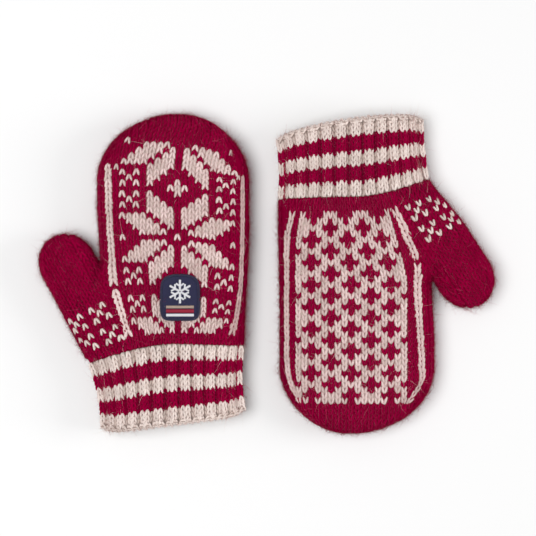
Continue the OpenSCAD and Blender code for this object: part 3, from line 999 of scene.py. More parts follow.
@dataclass(frozen=True)
class Knitter:
    """Lays the stitches of one mitten on its form.

    Args:
        form, faces: its shape, and the pattern of each face.
        row, column: size of a plain stitch.
        side_in, tip_in: how far inside the outline a face's last stitches are, at side and tip.
        side_columns, tip_rows: how many columns and rows roll down over side and tip.
        overlap: how much longer a rolled stitch is than its share of the arc.
        tip_half: half the width of the rows over the fingertips.
        join_room: how far above the join with the cuff the first stitches are.
        room, web_step: least room for a column beyond a stripe, and its place on the web.
        loose: how many columns beside a stripe share out their places.
        stripe_wide, stripe_tall: how much larger the stitches of the two stripes are.
        gusset_row, gusset_column, gusset_in: rows, columns and first column of the thumb.
        thumb_tip_wide, thumb_tip_half: width of a stitch over its tip, and share covered.
        cuff_rows: rows in the cuff.
    """

    form: Form
    faces: dict[Face, Pattern]
    row: float = 2.95
    column: float = 3.8
    side_in: float = 3.3
    tip_in: float = 5.6
    side_columns: int = 2
    tip_rows: int = 3
    overlap: float = 0.1
    tip_half: float = 29.0
    join_room: float = 1.5
    room: float = 4.4
    web_step: float = 3.7
    loose: float = 1.6
    stripe_wide: tuple[float, float] = (1.5, 1.25)
    stripe_tall: float = 1.22
    gusset_row: float = 2.85
    gusset_column: float = 3.47
    gusset_in: float = 4.4
    thumb_tip_wide: float = 4.1
    thumb_tip_half: float = 0.74
    cuff_rows: int = 15

    def lay(
        self, plan: Array, heading: Array, face: Face, cream: Array, over: Over,
        wide: Array, tall: Array | float,
    ) -> Stitches:
        """Stitches on one face, from above or below their places in plan.

        Args:
            plan: x and y of each stitch.
            face, over: which face of the mitten, and which outer face there.
            heading, cream, wide, tall: as for on_surface.
        Returns:
            The stitches, with their middles on the outer face.
        """
        aim = np.tile([0.0, 0.0, face.value], (len(plan), 1))
        middle, out = self.form.cast(self.over_plan(plan), aim, over)
        return self.on_surface(middle, out, heading, cream, wide, tall)

    @staticmethod
    def on_surface(
        middle: Array, out: Array, heading: Array, cream: Array,
        wide: Array | float, tall: Array | float,
    ) -> Stitches:
        """Stitches at points of the surface.

        Args:
            middle, out: the points, and the outward normals there.
            heading: the direction of each stitch's column in plan.
            cream: 1 for a cream stitch.
            wide, tall: size of each stitch, or the height of all.
        Returns:
            The stitches, headed along the surface.
        """
        none = np.zeros(len(middle))
        along = np.column_stack([heading, none])
        along = unit(along - (along * out).sum(1, keepdims=True) * out)
        return Stitches(middle, along, out, wide + none, tall + none, cream, none)

    def over_plan(self, plan: Array) -> Array:
        """Points at the height of the widest line."""
        return np.column_stack([plan, np.full(len(plan), self.form.edge_z)])

    def gap(self, plan: Array, over: Over) -> Array:
        """Distance in plan from each point to the outline, positive inside."""
        return -self.form.distance(self.over_plan(plan), over)

    def roll(
        self, plan: Array, outward: Array, face: Face, over: Over, count: int, size: float,
        heading: Array | None = None,
    ) -> Stitches:
        """Crimson stitches down over an edge, from above points in plan to the widest line.

        Rays fan out from each point, from straight up (or down) to outwards. The arc that their
        ends describe is shared out evenly.

        Args:
            plan, outward: points inside the outline, and the direction from each to it.
            face, over: up or down, and which outer face.
            count: how many stitches share each arc.
            size: width of a stitch whose column runs outwards, else its height.
            heading: direction of the columns if they don't run outwards.
        Returns:
            The stitches.
        """
        start = self.over_plan(plan)
        level = np.column_stack([outward, np.zeros(len(plan))])
        upright = np.array([0.0, 0.0, face.value])
        angles = np.radians(np.linspace(90, 0, 25))
        fan = []
        for angle in angles:
            aim = math.cos(angle) * level + math.sin(angle) * upright
            fan.append(self.form.cast(start, aim, over)[0])
        arc = np.linalg.norm(np.diff(np.stack(fan), axis=0), axis=2)
        arc = np.concatenate([np.zeros((1, len(plan))), np.cumsum(arc, 0)])
        step = arc[-1] / (count + 0.5)
        length = step + self.overlap
        sets = []
        for k in range(count):
            reach = step * (k + 1)
            angle = np.array([np.interp(reach[n], arc[:, n], angles) for n in range(len(plan))])
            aim = np.cos(angle)[:, None] * level + np.sin(angle)[:, None] * upright
            middle, out = self.form.cast(start, aim, over)
            crimson = np.zeros(len(plan))
            sets.append(
                self.on_surface(middle, out, outward, crimson, size, length) if heading is None
                else self.on_surface(middle, out, heading, crimson, length, size)
            )
        return Stitches.join(sets)

    def hand_face(self, face: Face) -> Stitches:
        """The stitches on one face of the hand, in rows j at height v and columns i.

        The pattern's columns stand between its two stripes, and one more stands beyond each
        stripe where there is room. Each stitch leans as its column does.

        Args:
            face: up or down.
        Returns:
            The stitches, with the rows over the fingertips.
        """
        pattern, form = self.faces[face], self.form
        j = np.arange(-int((pattern.first + 2) / pattern.row), 40)[:, None]
        i = np.arange(-11, 12)[None]
        columns = i.shape[1]
        v = pattern.first + pattern.row * j
        grid = pattern.grid_x(i, v)
        inner = pattern.on_line(form, pattern.thumb_line, v)
        outer = pattern.on_line(form, pattern.outer_line, v)
        near = 0.25 * pattern.column
        grid = np.where((grid > inner + near) & (grid < outer - near), grid, np.nan)
        height = pattern.row_y(form, inner, v)
        web = height < form.crotch_y
        above_gap = web & (height > pattern.thumb_gap + 3)
        low = np.where(web, inner - self.column, form.tip_x(v, -1.0) + 1.0)
        high = form.tip_x(v, 1.0) - 1.0
        beyond_outer = np.where(high - outer > self.room, (outer + high) / 2, np.nan)
        beyond_inner = np.where((inner - low > self.room) & ~web, (inner + low) / 2, np.nan)
        beyond_inner = np.where(above_gap, inner - self.web_step, beyond_inner)
        low = np.where(above_gap, inner - 2 * self.column, low)
        x = np.concatenate([grid, inner, outer, beyond_inner, beyond_outer], 1)
        loose = np.minimum(np.abs(x - inner), np.abs(x - outer)) < self.loose * pattern.column
        loose[:, columns:] = False
        x, width = evened(x, low[:, 0], high[:, 0], loose)
        y = pattern.row_y(form, x, v)
        stripe = np.zeros_like(x, bool)
        stripe[:, columns:columns + 2] = True
        cream = np.zeros_like(x)
        cream[:, :columns] = pattern.cream(i, j) * (np.abs(i) <= 9)
        for n, line in enumerate((pattern.thumb_line, pattern.outer_line)):
            k, at = columns + n, y[:, columns + n]
            whole = (n == 1) | (np.abs(at - pattern.thumb_gap) >= 1.6)
            cream[:, k] = (at < line[-1][0]) & (at > line[0][0]) & whole
            full = (cream[:, k] > 0) & (at < pattern.thumb_end)
            width[:, k] *= np.where(full, self.stripe_wide[n], 1.0)
            cream[:, k] *= (pattern.thumb_cream, pattern.outer_cream)[n]
        ahead = pattern.row_y(form, x, v + 1) - pattern.row_y(form, x, v - 1)
        lean = np.gradient(np.where(stripe, x, np.nan), axis=0)
        lean[:, :columns] = np.gradient(pattern.grid_x(i, v), axis=0)
        heading = np.stack([np.where(np.isnan(lean), 0.0, lean) / pattern.row * 2, ahead], -1)
        plan = np.stack([x, y], -1)
        good = ~np.isnan(x)
        gap = np.full_like(x, -1.0)
        gap[good] = self.gap(plan[good], Over.HAND)
        near_tip = (np.abs(x - form.tip_off) < self.tip_half) & (y > form.tip_y)
        edge_in = np.where(x < 0, self.side_in, pattern.outer_in) - 0.2
        good &= gap > np.where(near_tip, self.tip_in, edge_in)
        good &= y > self.join_y(x) + self.join_room
        large = stripe & (cream > 0) & (y < pattern.thumb_end)
        tall = pattern.row * np.hypot(heading[..., 0], heading[..., 1]) / 2
        tall = tall * np.where(large, self.stripe_tall, 1.0)
        flat = self.lay(
            plan[good], heading[good], face, cream[good], Over.BOTH, width[good], tall[good]
        )
        return Stitches.join([flat, self.fingertips(face, x, y, good)])

    def fingertips(self, face: Face, x: Array, y: Array, good: Array) -> Stitches:
        """Crimson rows that carry the columns of a face on, over the fingertips to the edge.

        Args:
            face: up or down.
            x, y, good: the grid of the face's stitches, and which of them are there.
        Returns:
            The stitches of those rows.
        """
        across, top = last_places(x, y, good)
        keep = (top > self.form.tip_y) & (np.abs(across - self.form.tip_off) < self.tip_half)
        plan = np.column_stack([across[keep], top[keep]])
        outward = np.tile([0.0, 1.0], (len(plan), 1))
        return self.roll(plan, outward, face, Over.HAND, self.tip_rows, self.column)

    def join_y(self, x: Array) -> Array:
        """Y of the join between hand and cuff at x."""
        form = self.form
        edge = np.where(x < 0, form.thumb_edge(form.dip(-1.0, 0.0)), form.outer_edge(0.0))
        return form.dip(np.clip(x / edge, -1, 1), 0.0)

    def sides(self, path: Array, face: Face, over: Over, back: float, inset: float) -> Stitches:
        """Columns of crimson stitches that follow an edge, over its round side.

        Args:
            path: points of the outline in plan, from the cuff to the tip.
            face, over: the face that they belong to, and which outer face.
            back: +1 if the inside is to the left of the path, else -1.
            inset: how far inside the outline the last column of the face is.
        Returns:
            The stitches of all columns.
        """
        steps = np.linalg.norm(np.diff(path, axis=0), axis=1)
        length = np.concatenate([[0.0], np.cumsum(steps)])
        at = np.arange(0.5 * self.row, length[-1], self.row)
        spot, ahead, behind = (
            np.column_stack([np.interp(at + d, length, path[:, n]) for n in (0, 1)])
            for d in (0.0, 1.5, -1.5)
        )
        heading = unit(ahead - behind)
        inward = back * np.column_stack([-heading[:, 1], heading[:, 0]])
        return self.roll(
            spot + inset * inward, -inward, face, over, self.side_columns, self.row, heading
        )

    def hand_outline(self, sign: float, low: float) -> Array:
        """The outline of the hand on one side, in plan.

        Args:
            sign: +1 for the side away from the thumb, -1 for the thumb's side.
            low: Y of its first point.
        Returns:
            Points up to where the rows over the fingertips begin.
        """
        form = self.form
        y = run_out(low, form.tip_y, form.tip_l, 60, 80, 90.0)
        x = form.tip_x(y, sign)
        keep = (np.abs(x - form.tip_off) > self.tip_half - 0.5) | (y < form.tip_y)
        return np.column_stack([x, y])[keep]

    def hand(self) -> dict[str, Stitches]:
        """All stitches of the hand: its two faces, each with its half of the edges."""
        outer = self.hand_outline(1.0, float(self.form.dip(1.0, 0.0)) + 0.8)
        inner = self.hand_outline(-1.0, self.form.crotch_y - 6)
        sets = {}
        for name, face in (("top", Face.TOP), ("under", Face.UNDER)):
            sets[name] = Stitches.join([
                self.hand_face(face),
                self.sides(outer, face, Over.HAND, 1.0, self.faces[face].outer_in),
                self.sides(inner, face, Over.HAND, -1.0, self.side_in),
            ])
        return sets

    def thumb_face(self, face: Face) -> Stitches:
        """The stitches on one face of thumb and gusset, in rows m at height t and columns k.

        Args:
            face: up or down.
        Returns:
            The stitches, with the rows over the tip of the thumb.
        """
        form, pattern = self.form, self.faces[face]
        half, angle = form.thumb_w / 2, math.radians(form.thumb_angle)
        m = np.arange(-18, 14)[:, None]
        k = np.arange(0, 10)[None]
        t = self.gusset_row * m.astype(float)
        stripe = form.to_thumb(np.array([[x, y, 0.0] for y, x in pattern.thumb_line]))
        ranked = np.argsort(stripe[:, 1])
        edge = np.interp(t, stripe[ranked, 1], stripe[ranked, 0])
        high = np.where(t < -4, edge, np.where(t < 7, half + 1.5, half - 1.0))
        x = -half + self.gusset_in + self.gusset_column * k + 0.0 * t
        tuck = math.cos(angle) * form.tuck(form.from_thumb(stack(x, t, 0.0))[..., 1])
        x = x + tuck * np.clip(1 - k / 6, 0, 1)
        x = np.where(x < high - np.where(t < 7, 2.0, 2.6), x, np.nan)
        x, width = evened(x, -half + 1.2 + tuck[:, 0], high[:, 0], high - x < 5.4)
        y = t - 0.25 * smooth((-4 - t) / 32) * (x + 14)
        good = ~np.isnan(x)
        plan = form.from_thumb(np.stack([x, y, 0.0 * x], -1))[..., :2]
        gap = np.full_like(x, -1.0)
        gap[good] = self.gap(plan[good], Over.THUMB)
        good &= plan[..., 1] > self.join_y(plan[..., 0]) + self.join_room
        good &= (gap > 4.2) | (t < 12)
        spots = ((k % 2 == 1) & (m % 2 == 0)) | ((k % 4 == 0) & (m % 4 == 3))
        cream = (spots & (k <= 5) & (m <= -4) & (m >= -10)).astype(float)
        share = np.clip((x + half) / (high + half), 0, 1) * smooth((-2 - t) / 14)
        lean = mix(angle, math.radians(16.0), share)
        heading = np.stack([-np.sin(lean), np.cos(lean)], -1)
        flat = self.lay(plan[good], heading[good], face, cream[good], Over.BOTH, width[good], 2.9)
        across, top = last_places(x, y, good)
        keep = (top > 12) & (np.abs(across) < self.thumb_tip_half * half)
        spot = form.from_thumb(stack(across[keep], top[keep], 0.0))[:, :2]
        outward = np.tile([-math.sin(angle), math.cos(angle)], (len(spot), 1))
        tip = self.roll(spot, outward, face, Over.THUMB, self.tip_rows, self.thumb_tip_wide)
        return Stitches.join([flat, tip])

    def thumb_outline(self, sign: float, low: float) -> Array:
        """The outline of the thumb on one side, in plan; low down it is that of the gusset.

        Args:
            sign: -1 for the outer side, +1 for the side of the hand.
            low: Y of its first point in the thumb's frame.
        Returns:
            Points up to where the rows over its tip begin.
        """
        form = self.form
        straight = form.thumb_l - form.thumb_tip_l
        y = np.linspace(low, straight, 50)
        s = np.sin(np.linspace(0, math.radians(52), 30)[1:])
        x = np.concatenate([np.ones(50), np.sqrt(1 - s * s)]) * sign * form.thumb_w / 2
        p = form.from_thumb(stack(x, np.concatenate([y, straight + form.thumb_tip_l * s]), x * 0))
        if sign < 0:
            gusset = p[:, 1] < form.gusset_top[1]
            p[gusset, 0] = -form.thumb_edge(p[gusset, 1])
        return p[:, :2]

    def thumb(self) -> Stitches:
        """All stitches of thumb and gusset."""
        sets = []
        for face in Face:
            edge = self.thumb_outline(-1.0, -40.0)
            outer = self.sides(edge, face, Over.BOTH, -1.0, self.gusset_in)
            outer = outer.keep(outer.middle[:, 1] > self.join_y(outer.middle[:, 0]) + 1.2)
            t = self.form.to_thumb(outer.middle)[:, 1]
            row = np.round(t / self.row).astype(int)
            spots = (np.abs(outer.out[:, 2]) > 0.45) & (row <= -4) & (row >= -8) & (row % 2 == 0)
            outer.cream = np.where(spots, 1.0, 0.0)
            edge = self.thumb_outline(1.0, 5.0)
            inner = self.sides(edge, face, Over.THUMB, 1.0, self.gusset_in)
            sets += [self.thumb_face(face), outer, inner]
        return Stitches.join(sets)

    def cuff(self) -> Stitches:
        """The ribbed cuff: pairs of columns on each rib, in bands three rows high.

        A sunk column of small stitches lies in each groove. The one on either side of the side
        seam is crimson through all bands but the last.
        """
        form = self.form
        rib, pair, row = np.meshgrid(
            np.arange(form.ribs), np.array([-0.215, 0.215, 0.5]), np.arange(self.cuff_rows),
            indexing="ij",
        )
        rib, pair, row = rib.ravel(), pair.ravel(), row.ravel()
        groove = pair == 0.5
        u = ((rib + pair) / form.ribs) % 1.0
        jog = np.where((rib == 0) & (pair < 0), 0.5, 0.0)
        f = (row + 0.5 - jog - 0.5 * groove * (row > 0)) / self.cuff_rows
        seam = groove & np.isin(rib, (0, form.ribs - 1))
        inset = np.where(groove, form.rib_d + np.where(seam, 0.0, 0.45), self.rib_depth(u) * 0.4)
        step = 0.004
        middle = form.cuff_point(u, f, inset)
        ahead, behind = (form.cuff_point((u + way) % 1, f, inset) for way in (step, -step))
        round_ = ahead - behind
        down = form.cuff_point(u, f + step, inset) - form.cuff_point(u, f - step, inset)
        along = unit(-down)
        out = unit(np.cross(round_, down))
        # the two columns of a rib turn a little away from each other, as its crest is round
        side = unit(np.cross(along, out))
        turn = np.sign((round_ * side).sum(1)) * np.sign(pair) * np.where(groove, 0.0, 0.6)
        out = unit(out + turn[:, None] * side)
        # the first rows hook over the edge of the hand, the first one most
        hook = np.where(groove, 0.0, np.clip(1 - row / 5, 0, 1))[:, None]
        middle = middle - 0.4 * hook * along + 0.35 * hook**3 * out
        short = groove & (row % 3 == 0) & (row > 0)
        cream = ((row // 3 % 2 == 0) & ~short & ~(seam & (row < 12))).astype(float)
        width = np.where(groove & ~seam, 3.6, 3.5)
        # groove stitches, but those by the seam, get painted shade
        deep = groove * ~seam * 1.0
        return Stitches(middle, along, out, width, np.full(len(u), self.row), cream, deep)

    def rib_depth(self, u: Array) -> Array:
        """Depth of the grooves at share u of the way round: rib_d (1 - cos(2 pi ribs u)) / 2."""
        return self.form.rib_d * (1 - np.cos(2 * math.pi * self.form.ribs * u)) / 2

    def rim(self) -> Stitches:
        """The cast-off edge: the columns of the cuff turn in over the hem in two short rows."""
        form = self.form
        rib, pair = np.meshgrid(np.arange(form.ribs), np.array([-0.245, 0.245]), indexing="ij")
        u = ((rib.ravel() + pair.ravel()) / form.ribs) % 1.0
        one = np.ones(len(u))
        edge = form.cuff_point(u, one, 1.3 + 0.5 * self.rib_depth(u))
        out = unit(form.cuff_point(u, one, 0.0) - form.cuff_point(u, one, 2.0))
        down = unit(form.cuff_point(u, one + 0.01, 1.0) - form.cuff_point(u, one, 1.0))
        sets = []
        for angle in (0.55, 1.5):
            face = unit(math.cos(angle) * out + math.sin(angle) * down)
            along = unit(math.sin(angle) * out - math.cos(angle) * down)
            middle = edge + 1.35 * face
            sets.append(Stitches(middle, along, face, 4.6 * one, 3.1 * one, one, 0 * one))
        return Stitches.join(sets)


# ---- finishes


def add(
    tree: Tree, kind: str, inputs: dict[int | str, Value] | None = None, **settings: object
) -> bpy.types.Node:
    """A new node.

    Args:
        tree: the tree that it joins.
        kind: the name of its type.
        inputs: a socket to link, or a value to set, for each input by its name or number.
        settings: properties of the node itself.
    Returns:
        The node.
    """
    node = tree.nodes.new(kind)
    for name, value in settings.items():
        setattr(node, name, value)
    for to, value in (inputs or {}).items():
        if isinstance(value, Socket):
            tree.links.new(value, node.inputs[to])
        else:
            node.inputs[to].default_value = value
    return node


def math_node(tree: Tree, operation: str, a: Value, b: Value) -> Socket:
    """The result of an operation on two sockets or numbers."""
    return add(tree, "ShaderNodeMath", {0: a, 1: b}, operation=operation).outputs[0]


def plus(tree: Tree, a: Value, b: Value, share: float) -> Socket:
    """The sum of a and a share of b."""
    return math_node(tree, "ADD", a, math_node(tree, "MULTIPLY", b, share))


def ranged(
    tree: Tree, value: Socket, low: float, high: float, first: float = 0.0, last: float = 1.0
) -> Socket:
    """The number from first to last that follows the value from low to high."""
    return add(tree, "ShaderNodeMapRange", {
        "Value": value, "From Min": low, "From Max": high, "To Min": first, "To Max": last,
    }).outputs[0]


def mix_colour(tree: Tree, share: Value, a: Value, b: Value) -> Socket:
    """The colour the given share of the way from a to b."""
    return add(tree, "ShaderNodeMix", {0: share, 6: a, 7: b}, data_type="RGBA").outputs[2]


def coordinates(tree: Tree, kind: str) -> Socket:
    """Where a point of the surface is: Object for its place, UV for its place on a thread."""
    return add(tree, "ShaderNodeTexCoord").outputs[kind]


def linear(red: float, green: float, blue: float) -> Colour:
    """A display colour, 0 to 255, as the linear colour that shaders take."""
    def channel(c: float) -> float:
        c = c / 255
        return c / 12.92 if c <= 0.04045 else ((c + 0.055) / 1.055) ** 2.4
    return (channel(red), channel(green), channel(blue), 1.0)


def fibre_group() -> Tree:
    """Shared effect, mottled wool: a brightness and a height, from noise at three scales.

    Shade is half the broad noise plus half the fine one. Height is the fine noise plus 0.6 of
    the finest.
    """
    tree = bpy.data.node_groups.get("wool_fibres")
    if tree:
        return tree
    tree = bpy.data.node_groups.new("wool_fibres", "ShaderNodeTree")
    size = tree.interface.new_socket("Scale", in_out="INPUT", socket_type="NodeSocketFloat")
    size.default_value = 1.0
    for name in ("Shade", "Height"):
        tree.interface.new_socket(name, in_out="OUTPUT", socket_type="NodeSocketFloat")
    scale = add(tree, "NodeGroupInput").outputs[0]
    place = coordinates(tree, "Object")
    broad, fine, finest = (
        add(tree, "ShaderNodeTexNoise", {
            "Vector": place, "Scale": math_node(tree, "MULTIPLY", scale, often),
            "Detail": detail, "Roughness": rough,
        }).outputs["Fac"]
        for often, detail, rough in ((260.0, 3.0, 0.6), (900.0, 3.0, 0.65), (2600.0, 2.0, 0.6))
    )
    shade = plus(tree, math_node(tree, "MULTIPLY", broad, 0.5), fine, 0.5)
    add(tree, "NodeGroupOutput", {"Shade": shade, "Height": plus(tree, fine, finest, 0.6)})
    return tree


def use_fibres(tree: Tree, scale: float) -> bpy.types.Node:
    """The shared wool effect, placed in a material at its own scale."""
    return add(tree, "ShaderNodeGroup", {"Scale": scale}, node_tree=fibre_group())


def tag(tree: Tree, name: str) -> Socket:
    """The number that a piece carries at each point under that name."""
    return add(tree, "ShaderNodeAttribute", attribute_name=name).outputs["Fac"]


def blank_material(name: str) -> tuple[bpy.types.Material, Tree, bpy.types.Node]:
    """A new material, its nodes and its shader."""
    made = bpy.data.materials.new(name)
    made.use_nodes = True
    return made, made.node_tree, made.node_tree.nodes["Principled BSDF"]


def in_scene(name: str, data: bpy.types.ID) -> Piece:
    """A new object with that data, in the scene."""
    made = bpy.data.objects.new(name, data)
    bpy.context.scene.collection.objects.link(made)
    return made


@dataclass(frozen=True)
class Finish:
    """What every finish shares: a name, the record's slot, which is not used, and how rough and downy it
    is.
    """

    name: str
    slot: str
    roughness: float = 0.95
    sheen: float = 0.0
    sheen_tint: Colour = (1.0, 1.0, 1.0, 1.0)
    bump: float = 0.6
    shine: float = 0.0

    def material(self) -> bpy.types.Material:
        """The material, made once."""
        found = bpy.data.materials.get(self.name)
        if found:
            return found
        made, tree, shader = blank_material(self.name)
        shader.inputs["Roughness"].default_value = self.roughness
        shader.inputs["Specular IOR Level"].default_value = self.shine
        shader.inputs["Sheen Weight"].default_value = self.sheen
        shader.inputs["Sheen Roughness"].default_value = 0.3
        shader.inputs["Sheen Tint"].default_value = self.sheen_tint
        colour, height, reach = self.surface(tree)
        bump = add(tree, "ShaderNodeBump", {
            "Strength": self.bump, "Distance": reach, "Height": height,
        })
        tree.links.new(colour, shader.inputs["Base Color"])
        tree.links.new(bump.outputs[0], shader.inputs["Normal"])
        return made

    def surface(self, tree: Tree) -> Look:
        """Colour and height of the surface, and how far the height reaches in metres."""
        raise NotImplementedError

    def dress(self, piece: Piece) -> Piece:
        """Give the piece this finish."""
        piece.data.materials.clear()
        piece.data.materials.append(self.material())
        return piece


# The two yarn colours, then the same yarns darker: the darker pair is painted shade in dips and grooves,
# and also the dark end of the random mottling.
CRIMSON = linear(160, 0, 60)
CRIMSON_SHADE_AND_MOTTLE = linear(108, 0, 35)
CREAM = linear(253, 238, 231)
CREAM_SHADE_AND_MOTTLE = linear(178, 157, 146)


def dimmed(colour: Colour, share: float) -> Colour:
    """A linear colour at a share of its brightness."""
    return (*(share * c for c in colour[:3]), 1.0)


@dataclass(frozen=True)
class Wool(Finish):
    """Dyed wool yarn in two colours with painted shade between the threads, mottled, with a fine twist.
    """

    cream: Colour = CREAM
    # deep: how far random mottling darkens towards the painted-shade colours; dip: how bright those
    # painted-shade colours are.
    deep: float = 0.55
    dip: float = 1.0
    twist: bool = True

    def surface(self, tree: Tree) -> Look:
        """Two yarn colours by tag, with painted shade in the dips, varied by stitch and by fibre."""
        fibres = use_fibres(tree, 1.0)
        cream = tag(tree, "cream")
        bright = mix_colour(tree, cream, CRIMSON, self.cream)
        dark = mix_colour(tree, cream, dimmed(CRIMSON_SHADE_AND_MOTTLE, self.dip), dimmed(CREAM_SHADE_AND_MOTTLE, self.dip))
        shade = plus(tree, fibres.outputs["Shade"], tag(tree, "lot"), 0.35)
        # dim: the share of painted-shade colour, the larger of random mottling and the painted shade
        # where the yarn lies low
        dim = math_node(
            tree, "MAXIMUM",
            ranged(tree, shade, 0.42, 0.95, self.deep, 0.0),
            ranged(tree, tag(tree, "crest"), 0.15, 0.75, 1.0, 0.0),
        )
        height = fibres.outputs["Height"]
        if self.twist:
            spiral = add(tree, "ShaderNodeTexWave", {
                "Scale": 3.2, "Distortion": 1.5, "Vector": coordinates(tree, "UV"),
            }, bands_direction="DIAGONAL")
            height = plus(tree, height, spiral.outputs["Fac"], 0.5)
        return mix_colour(tree, dim, bright, dark), height, 0.0004


@dataclass(frozen=True)
class LooseWool(Finish):
    """Single fibres of the yarn: painted shade at the sides, some of them pale on the faces."""

    def surface(self, tree: Tree) -> Look:
        """Yarn colours by tag, from painted shade through full to pale as the lot rises."""
        cream = tag(tree, "cream")
        pale = mix_colour(tree, cream, linear(214, 120, 140), linear(250, 240, 234))
        full = mix_colour(tree, cream, linear(158, 0, 54), linear(236, 214, 204))
        # dark: the fibre colours in painted shade, for low lots
        dark = mix_colour(tree, cream, linear(84, 14, 36), linear(190, 166, 156))
        lot = tag(tree, "lot")
        colour = mix_colour(tree, ranged(tree, lot, 0.0, 0.15), dark, full)
        colour = mix_colour(tree, ranged(tree, lot, 0.87, 1.0), colour, pale)
        return colour, use_fibres(tree, 2.0).outputs["Height"], 0.00005


@dataclass(frozen=True)
class Fleece(Finish):
    """Short-piled fleece: pale, soft and clumped."""

    colour: Rgb = (212, 196, 184)

    def surface(self, tree: Tree) -> Look:
        """Pale clumps over darker dips."""
        fibres = use_fibres(tree, 0.8)
        clumps = add(tree, "ShaderNodeTexVoronoi", {
            "Scale": 620.0, "Vector": coordinates(tree, "Object"),
        }, feature="SMOOTH_F1")
        height = math_node(tree, "SUBTRACT", fibres.outputs["Height"], clumps.outputs["Distance"])
        dark = linear(*(0.72 * c for c in self.colour))
        colour = mix_colour(tree, fibres.outputs["Shade"], dark, linear(*self.colour))
        return colour, height, 0.0008


@dataclass(frozen=True)
class Woven(Finish):
    """Fine woven cloth in one colour, with the grid of its threads."""

    colour: Rgb = (36, 36, 66)

    def surface(self, tree: Tree) -> Look:
        """Two waves at right angles for the threads, over a slight change of shade."""
        place = coordinates(tree, "Object")
        warp, weft = (
            add(tree, "ShaderNodeTexWave", {
                "Scale": 620.0, "Distortion": 0.6, "Vector": place,
            }, bands_direction=direction).outputs["Fac"]
            for direction in ("X", "Y")
        )
        weave = math_node(tree, "MULTIPLY", warp, weft)
        shade = use_fibres(tree, 1.6).outputs["Shade"]
        share = plus(tree, math_node(tree, "MULTIPLY", weave, 0.6), shade, 0.5)
        dark = linear(*(0.7 * c for c in self.colour))
        light = linear(*(min(255, 1.25 * c + 6) for c in self.colour))
        return mix_colour(tree, share, dark, light), weave, 0.00015


@dataclass(frozen=True)
class Thread(Finish):
    """Smooth sewing and embroidery thread, in colours that the piece names by tag."""

    first: Rgb = (36, 36, 66)
    second: Rgb = (238, 238, 242)
    third: Rgb = (186, 164, 148)
    fourth: Rgb = (160, 12, 52)

    def surface(self, tree: Tree) -> Look:
        """A ramp with one flat step for each colour, shaded along the thread."""
        ramp = add(tree, "ShaderNodeValToRGB", {"Fac": tag(tree, "colour")})
        ramp.color_ramp.interpolation = "CONSTANT"
        steps = ramp.color_ramp.elements
        steps[0].color = linear(*self.first)
        steps[1].position, steps[1].color = 0.25, linear(*self.second)
        for place, colour in ((0.5, self.third), (0.75, self.fourth)):
            steps.new(place).color = linear(*colour)
        fibres = use_fibres(tree, 1.5)
        shaded = add(tree, "ShaderNodeMix", {
            0: 0.3, 6: ramp.outputs[0], 7: fibres.outputs["Shade"],
        }, data_type="RGBA", blend_type="MULTIPLY")
        return shaded.outputs[2], fibres.outputs["Height"], 0.0001


DOWN = linear(236, 150, 170)
BLUSHED = linear(250, 226, 223)
YARN = Wool("patterned_wool", "patterned_knit", cream=BLUSHED, sheen=0.35, sheen_tint=DOWN)
CUFF_YARN = Wool("ribbed_wool", "rib_knit", deep=0.4, sheen=0.3, sheen_tint=DOWN)
THUMB_YARN = Wool("plain_wool", "plain_knit", sheen=0.2, sheen_tint=DOWN)
GROUND = Wool("wool_behind_the_stitches", "patterned_knit", twist=False)
FUZZ = LooseWool("loose_wool", "patterned_knit", bump=0.1)
FLEECE = Fleece("fleece", "fleece_lining", sheen=0.5, bump=0.8)
BADGE_CLOTH = Woven("badge_weave", "woven_badge", sheen=0.1, roughness=0.8, bump=0.5, shine=0.3)
BADGE_THREAD = Thread("badge_silk", "badge_thread", roughness=0.55, sheen=0.1, bump=0.2, shine=0.4)
SEAM_THREAD = Thread(
    "sewing_thread", "seam_thread", first=(128, 10, 44), second=(214, 196, 186), sheen=0.3
)


# ---- pieces


